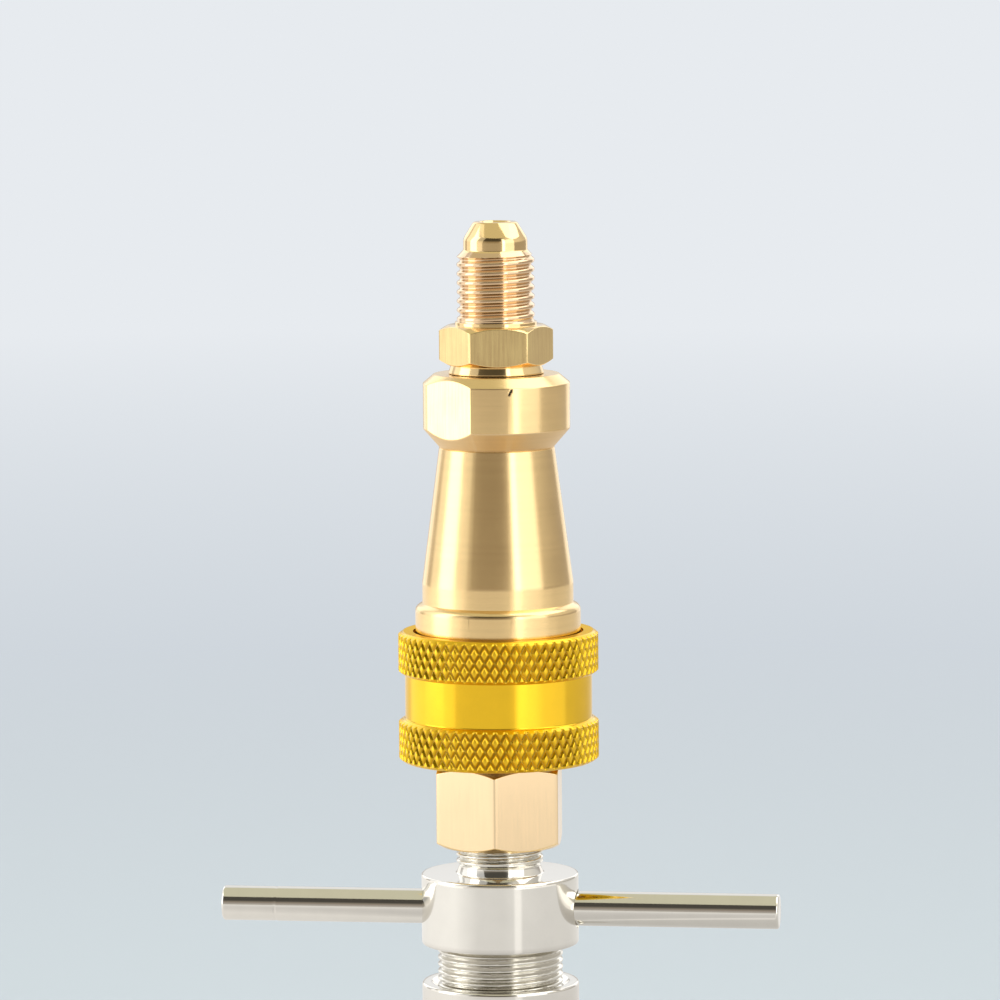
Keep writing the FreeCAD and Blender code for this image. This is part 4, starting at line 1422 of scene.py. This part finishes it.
class COUPLER_OT_stage(bpy.types.Operator):
    """Set the floor, the backdrop, the lamps and the camera"""

    bl_idname = "coupler.stage"
    bl_label = "Stage"

    def execute(self, context):
        self.backdrop()
        self.lamps()
        self.camera()
        context.scene.view_settings.view_transform = "Standard"
        return {"FINISHED"}

    def backdrop(self):
        """Round floor that sweeps up into a wall all round."""
        rings = [(0.0, 0.0), (FLOOR_RADIUS, 0.0)]
        for step in range(1, SWEEP_STEPS + 1):
            bend = math.pi / 2 * step / SWEEP_STEPS
            rings.append((FLOOR_RADIUS + FLOOR_SWEEP * math.sin(bend), FLOOR_SWEEP * (1 - math.cos(bend))))
        rings.append((FLOOR_RADIUS + FLOOR_SWEEP, WALL_HEIGHT))
        verts = [level(angle, *ring) for ring in rings for angle in even_angles(STAGE_SIDES)]
        faces = []
        for start in range(0, len(verts) - STAGE_SIDES, STAGE_SIDES):
            for index in range(STAGE_SIDES):
                here, other = start + index, start + (index + 1) % STAGE_SIDES
                faces.append((here, other, other + STAGE_SIDES, here + STAGE_SIDES))
        mesh = bpy.data.meshes.new("pale_stage")
        mesh.from_pydata(verts, [], faces)
        merge(mesh, mesh)
        mesh.polygons.foreach_set("use_smooth", [True] * len(mesh.polygons))
        mesh.materials.append(backdrop_material())
        place_object("pale_stage", mesh)

    def lamps(self):
        setup = stage_setup()
        for name, bearing, distance, height, size, glow in PANELS:
            panel_lamp(name, bearing, distance, height, size, getattr(setup, glow), name != UNMIRRORED_PANEL)
        world = bpy.data.worlds.new("soft_room")
        bpy.context.scene.world = world
        world.use_nodes = True
        sky = world.node_tree.nodes["Background"]
        sky.inputs["Color"].default_value = SKY_COLOUR
        sky.inputs["Strength"].default_value = setup.ambient

    def camera(self):
        setup = stage_setup()
        lens = bpy.data.cameras.new("photo_camera")
        lens.lens = setup.focal_length
        lens.sensor_width = SENSOR_WIDTH
        lens.clip_start = NEAR_CLIP
        holder = place_object("photo_camera", lens)
        holder.location = level(setup.camera_turn - math.pi / 2, setup.camera_distance, setup.camera_height)
        aim = level(setup.camera_turn, setup.aim_side, setup.aim_height) - holder.location
        facing = aim.to_track_quat("-Z", "Y").to_matrix()
        holder.rotation_euler = (facing @ Matrix.Rotation(setup.camera_roll, 3, "Z")).to_euler()
        bpy.context.scene.camera = holder


PIECES = (
    COUPLER_OT_flare_adapter,
    COUPLER_OT_socket_body,
    COUPLER_OT_lock_sleeve,
    COUPLER_OT_plug_nipple,
    COUPLER_OT_tee_screw,
    COUPLER_OT_handles,
    COUPLER_OT_clamp_barrel,
    COUPLER_OT_inner_pieces,
    COUPLER_OT_springs,
    COUPLER_OT_tube_seal,
    COUPLER_OT_stage,
)


class VIEW3D_PT_coupler(bpy.types.Panel):
    """Lists the pieces and the sizes and colours that can be changed"""

    bl_label = "Quick coupler"
    bl_idname = "VIEW3D_PT_coupler"
    bl_space_type = "VIEW_3D"
    bl_region_type = "UI"
    bl_category = "Coupler"

    def draw(self, context):
        for operator in PIECES:
            self.layout.operator(operator.bl_idname)
        for group in (threads(), colours(), stage_setup()):
            column = self.layout.column()
            for name in group.__annotations__:
                column.prop(group, name)


CLASSES = (CouplerThreads, CouplerColours, CouplerStage, *PIECES, VIEW3D_PT_coupler)


def register():
    for item in CLASSES:
        bpy.utils.register_class(item)
    bpy.types.Scene.coupler_threads = PointerProperty(type=CouplerThreads)
    bpy.types.Scene.coupler_colours = PointerProperty(type=CouplerColours)
    bpy.types.Scene.coupler_stage = PointerProperty(type=CouplerStage)


def unregister():
    del bpy.types.Scene.coupler_stage
    del bpy.types.Scene.coupler_colours
    del bpy.types.Scene.coupler_threads
    for item in reversed(CLASSES):
        bpy.utils.unregister_class(item)


def main():
    register()
    bpy.ops.coupler.flare_adapter()
    bpy.ops.coupler.socket_body()
    bpy.ops.coupler.lock_sleeve()
    bpy.ops.coupler.plug_nipple()
    bpy.ops.coupler.tee_screw()
    bpy.ops.coupler.handles()
    bpy.ops.coupler.clamp_barrel()
    bpy.ops.coupler.inner_pieces()
    bpy.ops.coupler.springs()
    bpy.ops.coupler.tube_seal()
    bpy.ops.coupler.stage()


if __name__ == "__main__":
    main()
